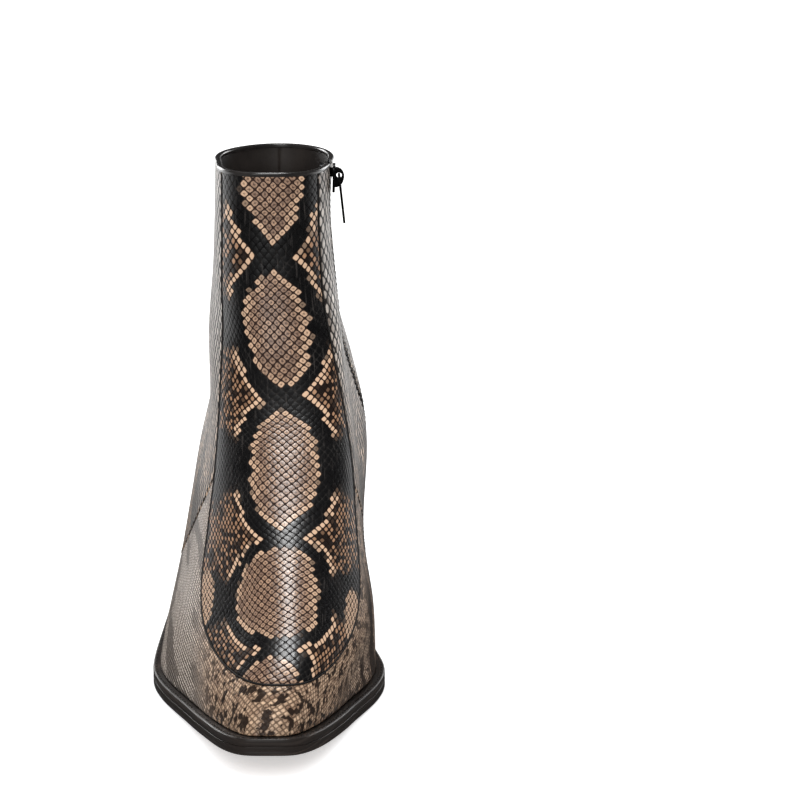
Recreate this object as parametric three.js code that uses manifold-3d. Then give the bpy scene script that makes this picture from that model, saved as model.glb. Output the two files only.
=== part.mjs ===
// Western style ankle boot for the right foot, with a stacked underslung heel and a zip on the inner side.
// Millimetres, +Z up, toe towards -Y, inner (medial) side towards +X, origin on the floor under the middle.
import * as THREE from 'three';
import { mergeVertices } from 'three/addons/utils/BufferGeometryUtils.js';
import Module from 'manifold-3d';

const wasm = await Module();
wasm.setup();

// ---------------------------------------------------------------- driving dimensions

const BOX_MIDDLE_TO_ORIGIN = [0.49, 2.05];   // moves the middle of the whole boot's box over the origin
const GAP = 0.3;                 // air left between pieces that touch on the real boot
const LEATHER = 1.3;             // outer leather
const STIFFENER = 1.2;           // toe puff and heel counter
const LINING = 0.9;              // lining leather
const LAYER_STIFFENER = LEATHER + GAP;
const LAYER_LINING = LAYER_STIFFENER + STIFFENER + GAP;

// Upper: height fraction v runs from the topline (0) to the feather edge (1), where it meets the sole.
// Side outlines of the upper as [v, y, z], up the back and down the front.
const BACK_LINE = [
  [0, 127, 198.5], [0.2, 124.5, 172], [0.4, 122.8, 146], [0.6, 126, 118],
  [0.8, 132.5, 90], [0.95, 134.8, 70], [1, 133.5, 61.5],
];
const FRONT_LINE = [
  [0, 25, 203.5], [0.1, 22.5, 174], [0.2, 19, 149], [0.3, 11, 127], [0.4, -5, 108], [0.5, -27, 91],
  [0.6, -50, 75], [0.7, -74, 60], [0.8, -98, 46], [0.9, -119, 34], [0.96, -130, 25], [1, -134.5, 15],
];
// The lower rings bend with the sole: how far down that starts, and how fast it grows.
const BEND_START_V = 0.15;
const BEND_POWER = 2.2;
// Half widths of the ring at each height fraction, at six stations from the back (0) to the front (1).
const STATIONS = [0, 0.2, 0.4, 0.6, 0.8, 1];
const LATERAL_WIDTHS = [
  [0, [24, 26.2, 26.2, 24.5, 24, 23.5]],
  [0.2, [25, 27.2, 27.2, 26.5, 26, 25]],
  [0.4, [27, 29.6, 29.6, 28.7, 28.5, 28]],
  [0.6, [28.5, 29.5, 29, 30, 31.5, 30]],
  [0.7, [30, 30.8, 33.2, 34.3, 34.5, 29]],
  [0.8, [30.5, 32.6, 36, 38.5, 37, 25]],
  [0.9, [31, 34, 38.5, 43, 36.5, 20]],
  [1, [31, 33, 40, 46, 30.3, 15]],
];
const MEDIAL_WIDTHS = [
  [0, [24, 25, 25, 24, 23.5, 23.5]],
  [0.1, [24, 23.4, 23.3, 23.3, 23.5, 23.8]],
  [0.2, [25, 24.5, 24.3, 24.3, 24.5, 25]],
  [0.4, [27, 28, 27.6, 27, 27.5, 28]],
  [0.55, [29, 34.5, 34, 31, 31.5, 31]],
  [0.67, [30, 38, 38.8, 34, 33, 30]],
  [0.8, [30.5, 37, 36.5, 35, 34.5, 25]],
  [0.9, [31, 35.5, 35, 38.8, 33, 20]],
  [1, [31, 33, 28, 41.8, 28.2, 15]],
];
// Roundness of the ring: superellipse exponents of its back and front halves.
const BACK_ROUNDNESS = [[0, 2.2], [0.55, 2.3], [1, 2.4]];
const FRONT_ROUNDNESS = [[0, 3], [0.3, 2.7], [0.55, 2.4], [0.8, 2.5], [1, 4.5]];
// The middle of the front leans to the inner side of the foot.
const FRONT_LEAN = [[0, 0], [0.2, 2], [0.3, 5], [0.6, 8], [0.87, 9.5], [1, 3.7]];
const LEAN_START_STATION = 0.3;

// Sole: underside height along the boot as [y, z], flat at the ball, springing up at the toe.
const SOLE_UNDERSIDE = [
  [-139, 8], [-115, 4.6], [-90, 1.8], [-60, 0.2], [-35, 0], [-10, 2.8],
  [10, 10], [40, 29], [70, 45.5], [100, 52], [139, 54.5],
];
const OUTSOLE = 3.6;
const WELT = 2.8;
const FEATHER = OUTSOLE + GAP + WELT + GAP;    // sole layers below the upper's lower edge
const SOLE_EDGE_LATERAL = 2.8;                 // how far the sole stands out from the upper
const SOLE_EDGE_MEDIAL = 3.6;
const SOLE_EDGE_TOE = 4.5;
const SEAT_EDGE = 1.4;

// Heel: stacked lifts over a rubber top piece.
const TOP_PIECE = 6;
const LIFT = 7;
const LIFT_COUNT = 5;
const HEEL_BREAST = 74;
const HEEL_BACK_TOP = 134.5;
const HEEL_BACK_FLOOR = 124;
const HEEL_HALF_TOP = 32.5;
const HEEL_HALF_FLOOR = 27.5;
const HEEL_HOLLOW = 2.5;          // how far the middle of the breast is hollowed
const HEEL_ROUND_START = 0.25;    // share of the heel's length where its sides start to close

// Front panel with the blunt round end over the toes. Its side seams are [v, share of the half ring].
const LATERAL_SEAM = [[0, 0.228], [0.15, 0.238], [0.33, 0.28], [0.6, 0.283], [0.75, 0.268], [0.93, 0.25]];
const MEDIAL_SEAM = [
  [0, 0.194], [0.15, 0.187], [0.28, 0.178], [0.45, 0.222], [0.62, 0.234], [0.75, 0.215], [0.93, 0.18],
];
const PANEL_ROUND_START = 0.7;
const PANEL_END = 0.921;
const PANEL_ROUNDNESS = 2.5;
const WRAP_START = 0.6;           // height fraction where the toe wrap meets the quarters
const WRAP_SEAM = 0.62;           // where its side seams reach the sole, as a share of the half ring
const SEAM_GAP = 0.4;

// Zip on the inner side. It lies in the plane y = ZIP_Y on an arc that is hollow outwards, so the slider
// runs along it as a hinge would, about a centre far out on the inner side.
const ZIP_Y = 62;
const ZIP_ARC_X = 333;
const ZIP_ARC_Z = 184.5;
const ZIP_ARC_RADIUS = 309.4;
const ZIP_TOP_Z = 199.7;
const ZIP_FOOT_Z = 90;
const ZIP_LEATHER_GAP = 2.6;      // from the middle of the zip to each leather edge
const TAPE_HALF = 13;
const TAPE = 0.6;
const TAPE_GAP = 0.7;             // from the middle of the zip to each tape
const TEETH_WIDTH = 1.5;
const TEETH = 1.3;
const LINING_GAP = 4.8;           // from the middle of the zip to the linings and the topline binding

const SLIDER_Z = 193.5;             // middle of the slider at rest
const SLIDER_HALF_LENGTH = 6;
const SLIDER_HALF_WIDTH = 4;
const SLIDER_PLATE = 1.1;
const SLIDER_LIFT = 0.9;          // from the leather's face to the slider's outer plate
const SLIDER_DEPTH = 3.4;         // from the leather's face in to the slider's inner plate
const PULLER_LENGTH = 21.5;
const PULLER_WIDTH = 5;
const PULLER_THICKNESS = 1;
const PULLER_LEAN = 6;            // degrees away from the boot

// ---------------------------------------------------------------- colours

function finish(color, roughness, metalness = 0) {
  return new THREE.MeshStandardMaterial({ color, roughness, metalness });
}
const python = finish(0xa88f78, 0.35);
const binding = finish(0x1c1918, 0.35);
const lining = finish(0x2d2622, 0.7);
const stiffener = finish(0xc9b79a, 0.8);
const soleEdge = finish(0x221d1b, 0.5);
const soleLeather = finish(0x9c7450, 0.7);
const heelLeather = finish(0x2a211d, 0.5);
const rubber = finish(0x181716, 0.85);
const cork = finish(0xb08a5c, 0.95);
const steel = finish(0x8d9094, 0.35, 1);
const blackMetal = finish(0x17181a, 0.3, 0.9);
const tape = finish(0x121212, 0.9);

// ---------------------------------------------------------------- curves and surfaces

// Smooth curve through [x, y] keys, with a tangent at each key halfway between its neighbours' slopes.
function smoothCurve(keys) {
  const slope = (a, b) => (b[1] - a[1]) / (b[0] - a[0]);
  const tangents = keys.map((key, i) => {
    const before = i > 0 ? slope(keys[i - 1], key) : slope(key, keys[i + 1]);
    const after = i < keys.length - 1 ? slope(key, keys[i + 1]) : before;
    return (before + after) / 2;
  });
  return (x) => {
    let i = 0;
    while (i < keys.length - 2 && x > keys[i + 1][0]) i += 1;
    const [x0, y0] = keys[i];
    const [x1, y1] = keys[i + 1];
    const width = x1 - x0;
    const t = (x - x0) / width;
    const rise = y1 - y0;
    const m0 = tangents[i] * width;
    const m1 = tangents[i + 1] * width;
    return y0 + t * (m0 + t * (3 * rise - 2 * m0 - m1 + t * (m0 + m1 - 2 * rise)));
  };
}

const lerp = THREE.MathUtils.lerp;
const clamp = THREE.MathUtils.clamp;
const smoothstep = THREE.MathUtils.smoothstep;

const backY = smoothCurve(BACK_LINE.map(([v, y]) => [v, y]));
const backZ = smoothCurve(BACK_LINE.map(([v, , z]) => [v, z]));
const frontY = smoothCurve(FRONT_LINE.map(([v, y]) => [v, y]));
const frontZ = smoothCurve(FRONT_LINE.map(([v, , z]) => [v, z]));
const backRoundness = smoothCurve(BACK_ROUNDNESS);
const frontRoundness = smoothCurve(FRONT_ROUNDNESS);
const frontLean = smoothCurve(FRONT_LEAN);
const undersideCurve = smoothCurve(SOLE_UNDERSIDE);
const underside = (y) => Math.max(0, undersideCurve(y));
const featherZ = (y) => underside(y) + FEATHER;

const widthCurves = (table) => STATIONS.map((_, i) => smoothCurve(table.map(([v, row]) => [v, row[i]])));
const lateralCurves = widthCurves(LATERAL_WIDTHS);
const medialCurves = widthCurves(MEDIAL_WIDTHS);
function halfWidth(v, station, side) {
  const curves = side < 0 ? lateralCurves : medialCurves;
  return smoothCurve(STATIONS.map((s, i) => [s, curves[i](v)]))(station);
}

// Half a ring of the upper at height fraction v, from the front centre (0) to the back seam (1).
const RING_STEPS = 72;
const ringStore = new Map();
function halfRing(v, side) {
  const key = `${v.toFixed(6)} ${side}`;
  if (ringStore.has(key)) return ringStore.get(key);
  const curves = side < 0 ? lateralCurves : medialCurves;
  const width = smoothCurve(STATIONS.map((s, i) => [s, curves[i](v)]));
  const bend = clamp((v - BEND_START_V) / (1 - BEND_START_V), 0, 1) ** BEND_POWER;
  const points = [];
  for (let i = 0; i <= RING_STEPS; i += 1) {
    const station = (1 + Math.cos((Math.PI * i) / RING_STEPS)) / 2;
    const t = Math.abs(2 * station - 1);
    const n = station > 0.5 ? frontRoundness(v) : backRoundness(v);
    const reach = Math.max(0, 1 - t ** n) ** (1 / n);
    const lean = frontLean(v) * smoothstep(station, LEAN_START_STATION, 1);
    const y = lerp(backY(v), frontY(v), station);
    const footY = lerp(BACK_LINE.at(-1)[1], FRONT_LINE.at(-1)[1], station);
    const arch = featherZ(footY) - lerp(BACK_LINE.at(-1)[2], FRONT_LINE.at(-1)[2], station);
    const z = lerp(backZ(v), frontZ(v), station) + bend * arch;
    points.push(new THREE.Vector3(lean + side * width(station) * reach, y, z));
  }
  const lengths = [0];
  for (let i = 1; i < points.length; i += 1) {
    lengths.push(lengths[i - 1] + points[i].distanceTo(points[i - 1]));
  }
  const ring = { points, lengths, total: lengths.at(-1) };
  ringStore.set(key, ring);
  return ring;
}

// A point of the upper's outer face: v down from the topline, g round from the front centre (0) to the
// back seam (-1 on the outer side, +1 on the inner side), by length along the ring.
function onRing(v, g) {
  const ring = halfRing(v, g < 0 ? -1 : 1);
  const target = Math.min(Math.abs(g), 1) * ring.total;
  let low = 0;
  let high = ring.lengths.length - 1;
  while (high - low > 1) {
    const middle = (low + high) >> 1;
    if (ring.lengths[middle] <= target) low = middle;
    else high = middle;
  }
  const share = (target - ring.lengths[low]) / (ring.lengths[high] - ring.lengths[low]);
  return ring.points[low].clone().lerp(ring.points[high], share);
}

// The same point moved in by a depth, square to the surface.
const STEP_V = 0.012;
const STEP_G = 0.025;
const wrapped = (g) => (g > 1 ? g - 2 : g < -1 ? g + 2 : g);
function upper(v, g, depth = 0) {
  const point = onRing(v, wrapped(g));
  if (depth === 0) return point;
  const v0 = Math.max(v - STEP_V, 0);
  const v1 = Math.min(v + STEP_V, 1);
  const down = onRing(v1, wrapped(g)).sub(onRing(v0, wrapped(g)));
  const round = onRing(v, wrapped(g + STEP_G)).sub(onRing(v, wrapped(g - STEP_G)));
  const normal = down.cross(round).normalize();
  return point.addScaledVector(normal, -depth);
}

// Share of the half ring taken by a length in millimetres from the front centre.
const share = (v, millimetres, side) => millimetres / halfRing(v, side).total;

// ---------------------------------------------------------------- solids

// Closed solid made from a block of cells: place(a, b, c) gives the point for fractions 0 to 1 each way.
function mapped(cellsA, cellsB, cellsC, place) {
  const geometry = new THREE.BoxGeometry(1, 1, 1, cellsA, cellsB, cellsC);
  geometry.deleteAttribute('normal');
  geometry.deleteAttribute('uv');
  const merged = mergeVertices(geometry, 1e-5);
  const position = merged.attributes.position;
  for (let i = 0; i < position.count; i += 1) {
    const point = place(position.getX(i) + 0.5, position.getY(i) + 0.5, position.getZ(i) + 0.5);
    position.setXYZ(i, point.x, point.y, point.z);
  }
  return facingOut(merged);
}

function facingOut(geometry) {
  const index = geometry.index.array;
  const at = (i) => new THREE.Vector3().fromBufferAttribute(geometry.attributes.position, i);
  let volume = 0;
  for (let i = 0; i < index.length; i += 3) {
    volume += at(index[i]).dot(at(index[i + 1]).cross(at(index[i + 2])));
  }
  if (volume < 0) {
    for (let i = 0; i < index.length; i += 3) {
      [index[i], index[i + 1]] = [index[i + 1], index[i]];
    }
  }
  geometry.computeVertexNormals();
  return geometry;
}

// Closed solid of a profile in the YZ plane, standing out along +X from x0 to x1.
function plateAlongX(shape, x0, x1) {
  const options = { depth: x1 - x0, bevelEnabled: false, curveSegments: 8 };
  const geometry = new THREE.ExtrudeGeometry(shape, options);
  geometry.applyMatrix4(new THREE.Matrix4().makeBasis(
    new THREE.Vector3(0, 1, 0), new THREE.Vector3(0, 0, 1), new THREE.Vector3(1, 0, 0)));
  return geometry.translate(x0, 0, 0);
}

// Closed solid of a profile in the XZ plane, centred on y = 0.
function plateAlongY(shape, thickness) {
  const options = { depth: thickness, bevelEnabled: false, curveSegments: 10 };
  const geometry = new THREE.ExtrudeGeometry(shape, options);
  geometry.rotateX(Math.PI / 2);
  return geometry.translate(0, thickness / 2, 0);
}

function toSolid(geometry) {
  const bare = geometry.clone();
  for (const name of Object.keys(bare.attributes)) {
    if (name !== 'position') bare.deleteAttribute(name);
  }
  const merged = facingOut(mergeVertices(bare, 1e-4));
  merged.deleteAttribute('normal');
  return new wasm.Manifold(new wasm.Mesh({
    numProp: 3,
    vertProperties: new Float32Array(merged.attributes.position.array),
    triVerts: new Uint32Array(merged.index.array),
  }));
}

function fromSolid(solid) {
  const mesh = solid.getMesh();
  const geometry = new THREE.BufferGeometry();
  geometry.setAttribute('position', new THREE.BufferAttribute(new Float32Array(mesh.vertProperties), 3));
  geometry.setIndex(new THREE.BufferAttribute(new Uint32Array(mesh.triVerts), 1));
  geometry.computeVertexNormals();
  return geometry;
}

function join(...pieces) {
  return fromSolid(pieces.map(toSolid).reduce((whole, piece) => whole.add(piece)));
}

function cut(body, ...tools) {
  return fromSolid(tools.map(toSolid).reduce((left, tool) => left.subtract(tool), toSolid(body)));
}

// Upright round bar from z0 to z1.
function bar(x, y, z0, z1, radius, sides = 12) {
  const geometry = new THREE.CylinderGeometry(radius, radius, z1 - z0, sides);
  return geometry.rotateX(Math.PI / 2).translate(x, y, (z0 + z1) / 2);
}

const boot = new THREE.Group();
boot.position.set(...BOX_MIDDLE_TO_ORIGIN, 0);

function add(name, geometry, material) {
  const mesh = new THREE.Mesh(geometry, material);
  mesh.name = name;
  boot.add(mesh);
  return mesh;
}

// ---------------------------------------------------------------- seam lines of the upper

const lateralSeam = smoothCurve(LATERAL_SEAM);
const medialSeam = smoothCurve(MEDIAL_SEAM);
const panelEdge = (v, side) => (side < 0 ? lateralSeam(v) : medialSeam(v));

// Front edge of the quarters: along the panel, then down the side seam of the toe wrap.
function quarterFront(v, side) {
  if (v <= WRAP_START) return panelEdge(v, side);
  return lerp(panelEdge(WRAP_START, side), WRAP_SEAM, (v - WRAP_START) / (1 - WRAP_START));
}

// Lower edge of the panel: half a superellipse. across runs from the outer seam (-1) to the inner one (1).
function panelRound(across) {
  const reach = Math.max(0, 1 - Math.abs(across) ** PANEL_ROUNDNESS) ** (1 / PANEL_ROUNDNESS);
  const v = lerp(PANEL_ROUND_START, PANEL_END, reach);
  return { v, g: across * panelEdge(v, across < 0 ? -1 : 1) };
}

// Where the middle of the zip lies on the ring at height fraction v.
function zipG(v) {
  let low = 0.2;
  let high = 0.95;
  for (let i = 0; i < 24; i += 1) {
    const middle = (low + high) / 2;
    if (onRing(v, middle).y < ZIP_Y) low = middle;
    else high = middle;
  }
  return (low + high) / 2;
}

// Height fraction of the zip line at a height in millimetres.
function zipV(z) {
  let low = 0;
  let high = 1;
  for (let i = 0; i < 24; i += 1) {
    const middle = (low + high) / 2;
    if (onRing(middle, zipG(middle)).z > z) low = middle;
    else high = middle;
  }
  return (low + high) / 2;
}

const ZIP_TOP_V = zipV(ZIP_TOP_Z);
const ZIP_FOOT_V = zipV(ZIP_FOOT_Z);
const besideZip = (v, millimetres) => zipG(v) + share(v, millimetres, 1);
// Below the zip the two quarters close to a plain seam.
const ZIP_CLOSE_V = [ZIP_FOOT_V + 0.05, ZIP_FOOT_V + 0.1];
const zipLeatherGap = (v) => lerp(ZIP_LEATHER_GAP, SEAM_GAP / 2, smoothstep(v, ...ZIP_CLOSE_V));

// ---------------------------------------------------------------- outer leather

const TOP_V = 0.012;
const BOTTOM_V = 0.994;
const BACK_SEAM = 0.002;          // half the gap at the back seam, as a share of the half ring
const PANEL_END_GAP = 0.004;      // height fraction left between the panel's end and the toe wrap

// Evenly spaced height fractions between two levels.
const levels = (from, to, cells) => Array.from({ length: cells + 1 }, (_, i) => lerp(from, to, i / cells));

// A leather or lining piece between two edges, each given as g for a height fraction, with a row of
// cells between each two of the height fractions in rows. Cells crowd towards edge B where crowd > 1.
function sheet(edgeA, edgeB, rows, depth, thickness, cellsRound, crowd = 1) {
  return mapped(cellsRound, rows.length - 1, 1, (a, b, c) => {
    const v = rows[Math.round(b * (rows.length - 1))];
    const along = 1 - (1 - a) ** crowd;
    return upper(v, lerp(edgeA(v), edgeB(v), along), depth + c * thickness);
  });
}

const PANEL_CROWD = 1.3;          // crowds the panel's rows of cells towards the toe
const WRAP_ROUND_SHARE = 0.62;    // share of the toe wrap's cells that follow the panel's round end

function addPanel() {
  add('front_panel', mapped(22, 24, 1, (a, b, c) => {
    const across = Math.sin(Math.PI * (a - 0.5));
    const side = across < 0 ? -1 : 1;
    const down = 1 - (1 - b) ** PANEL_CROWD;
    const v = lerp(TOP_V, panelRound(across).v - PANEL_END_GAP, down);
    return upper(v, across * (panelEdge(v, side) - share(v, SEAM_GAP, side)), c * LEATHER);
  }), python);
}

function addToeWrap() {
  add('toe_wrap', mapped(44, 8, 1, (a, b, c) => {
    const t = 2 * a - 1;
    const side = t < 0 ? -1 : 1;
    let inner;
    if (Math.abs(t) < WRAP_ROUND_SHARE) {
      inner = panelRound(Math.sin(((t / WRAP_ROUND_SHARE) * Math.PI) / 2));
    } else {
      const past = (Math.abs(t) - WRAP_ROUND_SHARE) / (1 - WRAP_ROUND_SHARE);
      const v = lerp(PANEL_ROUND_START, WRAP_START, past);
      inner = { v, g: side * panelEdge(v, side) };
    }
    const end = Math.abs(t) * quarterFront(BOTTOM_V, side);
    return upper(lerp(inner.v, BOTTOM_V, b), lerp(inner.g, side * end, b), c * LEATHER);
  }), python);
}

function addQuarters() {
  const rows = [...levels(TOP_V, WRAP_START, 10), ...levels(WRAP_START, BOTTOM_V, 8).slice(1)];
  const quarter = (name, edgeA, edgeB, cells, crowd) => add(name,
    sheet(edgeA, edgeB, rows, 0, LEATHER, cells, crowd), python);
  const frontEdge = (v, side) => side * (quarterFront(v, side) + share(v, SEAM_GAP, side));
  quarter('lateral_quarter', (v) => frontEdge(v, -1), () => BACK_SEAM - 1, 18, 1.4);
  quarter('medial_front_quarter', (v) => frontEdge(v, 1), (v) => besideZip(v, -zipLeatherGap(v)), 8);
  quarter('medial_rear_quarter', (v) => besideZip(v, zipLeatherGap(v)), () => 1 - BACK_SEAM, 12, 1.3);
}

addPanel();
addToeWrap();
addQuarters();

// ---------------------------------------------------------------- seam piping and topline binding

const PIPING_RADIUS = 0.5;
const PIPING_GAP = 0.4;
const PIPING_TOP_V = 0.06;
const PIPING_LEG = 0.36;          // share of the piping's path that each straight leg takes

class PipingPath extends THREE.Curve {
  getPoint(t) {
    const lift = -(PIPING_GAP + PIPING_RADIUS);
    if (t < PIPING_LEG || t > 1 - PIPING_LEG) {
      const side = t < PIPING_LEG ? -1 : 1;
      const v = lerp(PIPING_TOP_V, PANEL_ROUND_START, Math.min(t, 1 - t) / PIPING_LEG);
      return upper(v, side * panelEdge(v, side), lift);
    }
    const { v, g } = panelRound(Math.sin(Math.PI * ((t - PIPING_LEG) / (1 - 2 * PIPING_LEG) - 0.5)));
    return upper(v, g, lift);
  }
}

function addPiping() {
  const section = new THREE.Shape().absarc(0, 0, PIPING_RADIUS, 0, 2 * Math.PI);
  const geometry = new THREE.ExtrudeGeometry(section, {
    steps: 56, bevelEnabled: false, curveSegments: 3, extrudePath: new PipingPath(),
  });
  add('panel_piping', geometry, binding);
}

addPiping();

const BINDING = 0.8;
const BINDING_LEG = 4.5;
const BINDING_RISE = 0.6;                 // flattening of the fold over the topline
const BINDING_FOLD = 1 / 6;               // share of the binding's section that each flat leg takes
const TOP_MILLIMETRES_PER_V = 132;        // length down the leg for one unit of height fraction, near the top

function addBinding() {
  const middleDepth = (LAYER_LINING + LINING) / 2;
  const innerRadius = middleDepth + GAP;
  add('topline_binding', mapped(46, 6, 1, (a, b, c) => {
    const start = besideZip(TOP_V, LINING_GAP);
    const end = besideZip(TOP_V, -LINING_GAP) + 2;
    const g = wrapped(wrapped(lerp(start, end, a)));
    const radius = innerRadius + c * BINDING;
    const legDown = (part) => TOP_V + (part * BINDING_LEG) / TOP_MILLIMETRES_PER_V;
    if (b <= BINDING_FOLD) return upper(legDown(1 - b / BINDING_FOLD), g, middleDepth - radius);
    if (b >= 1 - BINDING_FOLD) {
      return upper(legDown((b - 1 + BINDING_FOLD) / BINDING_FOLD), g, middleDepth + radius);
    }
    const angle = Math.PI * ((b - BINDING_FOLD) / (1 - 2 * BINDING_FOLD));
    const point = upper(TOP_V, g, middleDepth - radius * Math.cos(angle));
    point.z += BINDING_RISE * radius * Math.sin(angle);
    return point;
  }), binding);
}

addBinding();

// ---------------------------------------------------------------- stiffeners and linings

const LINING_TOP = 0.014;
const LINING_BOTTOM = 0.975;
const LINING_FORK = [0.42, 0.6];          // between these the vamp lining widens to its full share
const VAMP_LINING_TOP = 0.46;
const VAMP_LINING_SHARE = 0.5;
const LINING_SEAM = 0.003;
const PUFF_V = [0.88, 0.965];
const PUFF_SHARE = 0.31;
const COUNTER_TOP_V = 0.66;
const COUNTER_SHARE = [0.75, 1.36];       // from the inner side, past the back seam (1), to the outer side
const PUFF_GAP = 0.7;                     // more air where the leather's facets curve hard
const COUNTER_GAP = 0.2;

function vampLiningEdge(v) {
  const [start, end] = LINING_FORK;
  return VAMP_LINING_SHARE * clamp((v - start) / (end - start), 0, 1);
}

function addStiffeners() {
  add('toe_puff', sheet(() => -PUFF_SHARE, () => PUFF_SHARE, levels(...PUFF_V, 4),
    LAYER_STIFFENER + PUFF_GAP, STIFFENER - PUFF_GAP, 24), stiffener);
  const [start, end] = COUNTER_SHARE;
  add('heel_counter', sheet(() => start, () => end, levels(COUNTER_TOP_V, LINING_BOTTOM, 6),
    LAYER_STIFFENER + COUNTER_GAP, STIFFENER - 2 * COUNTER_GAP, 24), stiffener);
}

function addLinings() {
  const lowRows = levels(LINING_FORK[1], LINING_BOTTOM, 7);
  const forkRows = [...levels(VAMP_LINING_TOP, LINING_FORK[1], 3), ...lowRows.slice(1)];
  const sideRows = [...levels(LINING_TOP, LINING_FORK[0], 6), ...forkRows];
  const lined = (name, edgeA, edgeB, rows, cells) => add(name,
    sheet(edgeA, edgeB, rows, LAYER_LINING, LINING, cells), lining);
  const vampEdge = (v) => vampLiningEdge(v) - LINING_SEAM;
  const sideEdge = (v) => vampLiningEdge(v) + LINING_SEAM;
  lined('vamp_lining', (v) => -vampEdge(v), vampEdge, forkRows, 24);
  lined('lateral_lining', (v) => -sideEdge(v), () => LINING_SEAM - 1, sideRows, 19);
  lined('medial_front_lining', sideEdge, (v) => besideZip(v, -LINING_GAP), sideRows, 9);
  lined('medial_rear_lining', (v) => besideZip(v, LINING_GAP), () => 1 - LINING_SEAM, sideRows, 10);
}

addStiffeners();
addLinings();

// ---------------------------------------------------------------- zip

const ZIP_SPARE_V = 0.012;                // height fraction between the tape's end and the first tooth
const TOP_STOP_V = [-0.018, -0.003];      // from the zip's top end
const BOTTOM_STOP_V = [0.004, 0.02];      // from its lower end
const BOTTOM_STOP_HALF = 2;

function addZip() {
  const top = ZIP_TOP_V + ZIP_SPARE_V;
  const foot = ZIP_FOOT_V + 2 * ZIP_SPARE_V;
  const block = (name, from, to, rows, depth, thickness, cells, material) => add(name,
    sheet((v) => besideZip(v, from), (v) => besideZip(v, to), rows, depth, thickness, cells), material);
  const rows = levels(top, foot, 12);
  const topStopRows = TOP_STOP_V.map((v) => top + v);
  const bottomStopRows = BOTTOM_STOP_V.map((v) => foot + v);
  for (const [name, side] of [['front', -1], ['rear', 1]]) {
    const inner = side * TAPE_GAP;
    const outer = side * (TAPE_GAP + TEETH_WIDTH);
    block(`zip_tape_${name}`, inner, side * TAPE_HALF, rows, LAYER_STIFFENER, TAPE, 3, tape);
    block(`zip_teeth_${name}`, inner, outer, rows, 0, TEETH, 1, blackMetal);
    block(`zip_top_stop_${name}`, inner, outer, topStopRows, 0, TEETH, 1, blackMetal);
  }
  block('zip_bottom_stop', -BOTTOM_STOP_HALF, BOTTOM_STOP_HALF, bottomStopRows, 0, TEETH, 1, blackMetal);
}

addZip();

// The slider and puller are drawn upright at the origin, +X away from the boot, then set on the zip's arc.
const SLIDER_ANGLE = Math.asin((SLIDER_Z - ZIP_ARC_Z) / ZIP_ARC_RADIUS);
const SLIDER_X = ZIP_ARC_X - ZIP_ARC_RADIUS * Math.cos(SLIDER_ANGLE);
const PLATE_TOP = SLIDER_LIFT + SLIDER_PLATE;
const PIVOT_X = PLATE_TOP + 1.6;
const PIVOT_Z = 1.2;
const ARCH_WALL = 2.2;                    // from the eye's middle to the arch's outside
const ARCH_WIDTH = 1.8;
const ARCH_FOOT = -4;
const ARCH_HEAD = 4.6;
const EYE_RADIUS = 1.2;
const SLIDER_NARROW = 0.55;               // half width at the slider's lower end, as a share
const DIVIDER = [0.6, 4];                 // width and length of the wedge between the two plates

function sliderPlate() {
  const half = SLIDER_HALF_WIDTH;
  const end = SLIDER_HALF_LENGTH;
  const plate = new THREE.Shape();
  plate.moveTo(-half * SLIDER_NARROW, -end);
  plate.lineTo(half * SLIDER_NARROW, -end);
  plate.quadraticCurveTo(half * 0.75, -1, half, end / 2);
  plate.quadraticCurveTo(half, end, half * 0.4, end);
  plate.lineTo(-half * 0.4, end);
  plate.quadraticCurveTo(-half, end, -half, end / 2);
  plate.quadraticCurveTo(-half * 0.75, -1, -half * SLIDER_NARROW, -end);
  return plate;
}

function sliderArch() {
  const foot = PLATE_TOP - 0.2;
  const crown = PIVOT_X + ARCH_WALL;
  const arch = new THREE.Shape();
  arch.moveTo(foot, ARCH_FOOT);
  arch.lineTo(PLATE_TOP + 0.6, ARCH_FOOT);
  arch.quadraticCurveTo(crown, ARCH_FOOT + 1, crown, PIVOT_Z);
  arch.quadraticCurveTo(crown - 0.6, ARCH_HEAD, foot, ARCH_HEAD);
  const eye = new THREE.Path();
  eye.absarc(PIVOT_X, PIVOT_Z, EYE_RADIUS, 0, 2 * Math.PI, true);
  arch.holes.push(eye);
  return arch;
}

function addSlider() {
  const outerPlate = plateAlongX(sliderPlate(), SLIDER_LIFT, PLATE_TOP);
  const innerPlate = plateAlongX(sliderPlate(), -SLIDER_DEPTH - SLIDER_PLATE, -SLIDER_DEPTH);
  const [width, length] = DIVIDER;
  const divider = new THREE.BoxGeometry(SLIDER_DEPTH + SLIDER_LIFT + 1, width, length);
  divider.translate((SLIDER_LIFT - SLIDER_DEPTH) / 2, 0, 0.6 * length);
  const arch = plateAlongY(sliderArch(), ARCH_WIDTH);
  const slider = add('zip_slider', join(outerPlate, innerPlate, divider, arch), blackMetal);
  slider.position.set(SLIDER_X, ZIP_Y, SLIDER_Z);
  slider.rotation.y = SLIDER_ANGLE;
}

const PULLER_BAR = 0.55;                  // half height of the bar that turns in the eye
const PULLER_SHOULDER = 6;                // from the pivot down to where the blade narrows
const PULLER_WAIST = 0.7;                 // the blade's narrow width, as a share
const WINDOW_HALF = 1.4;
const WINDOW_LENGTH = 5.2;

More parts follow.
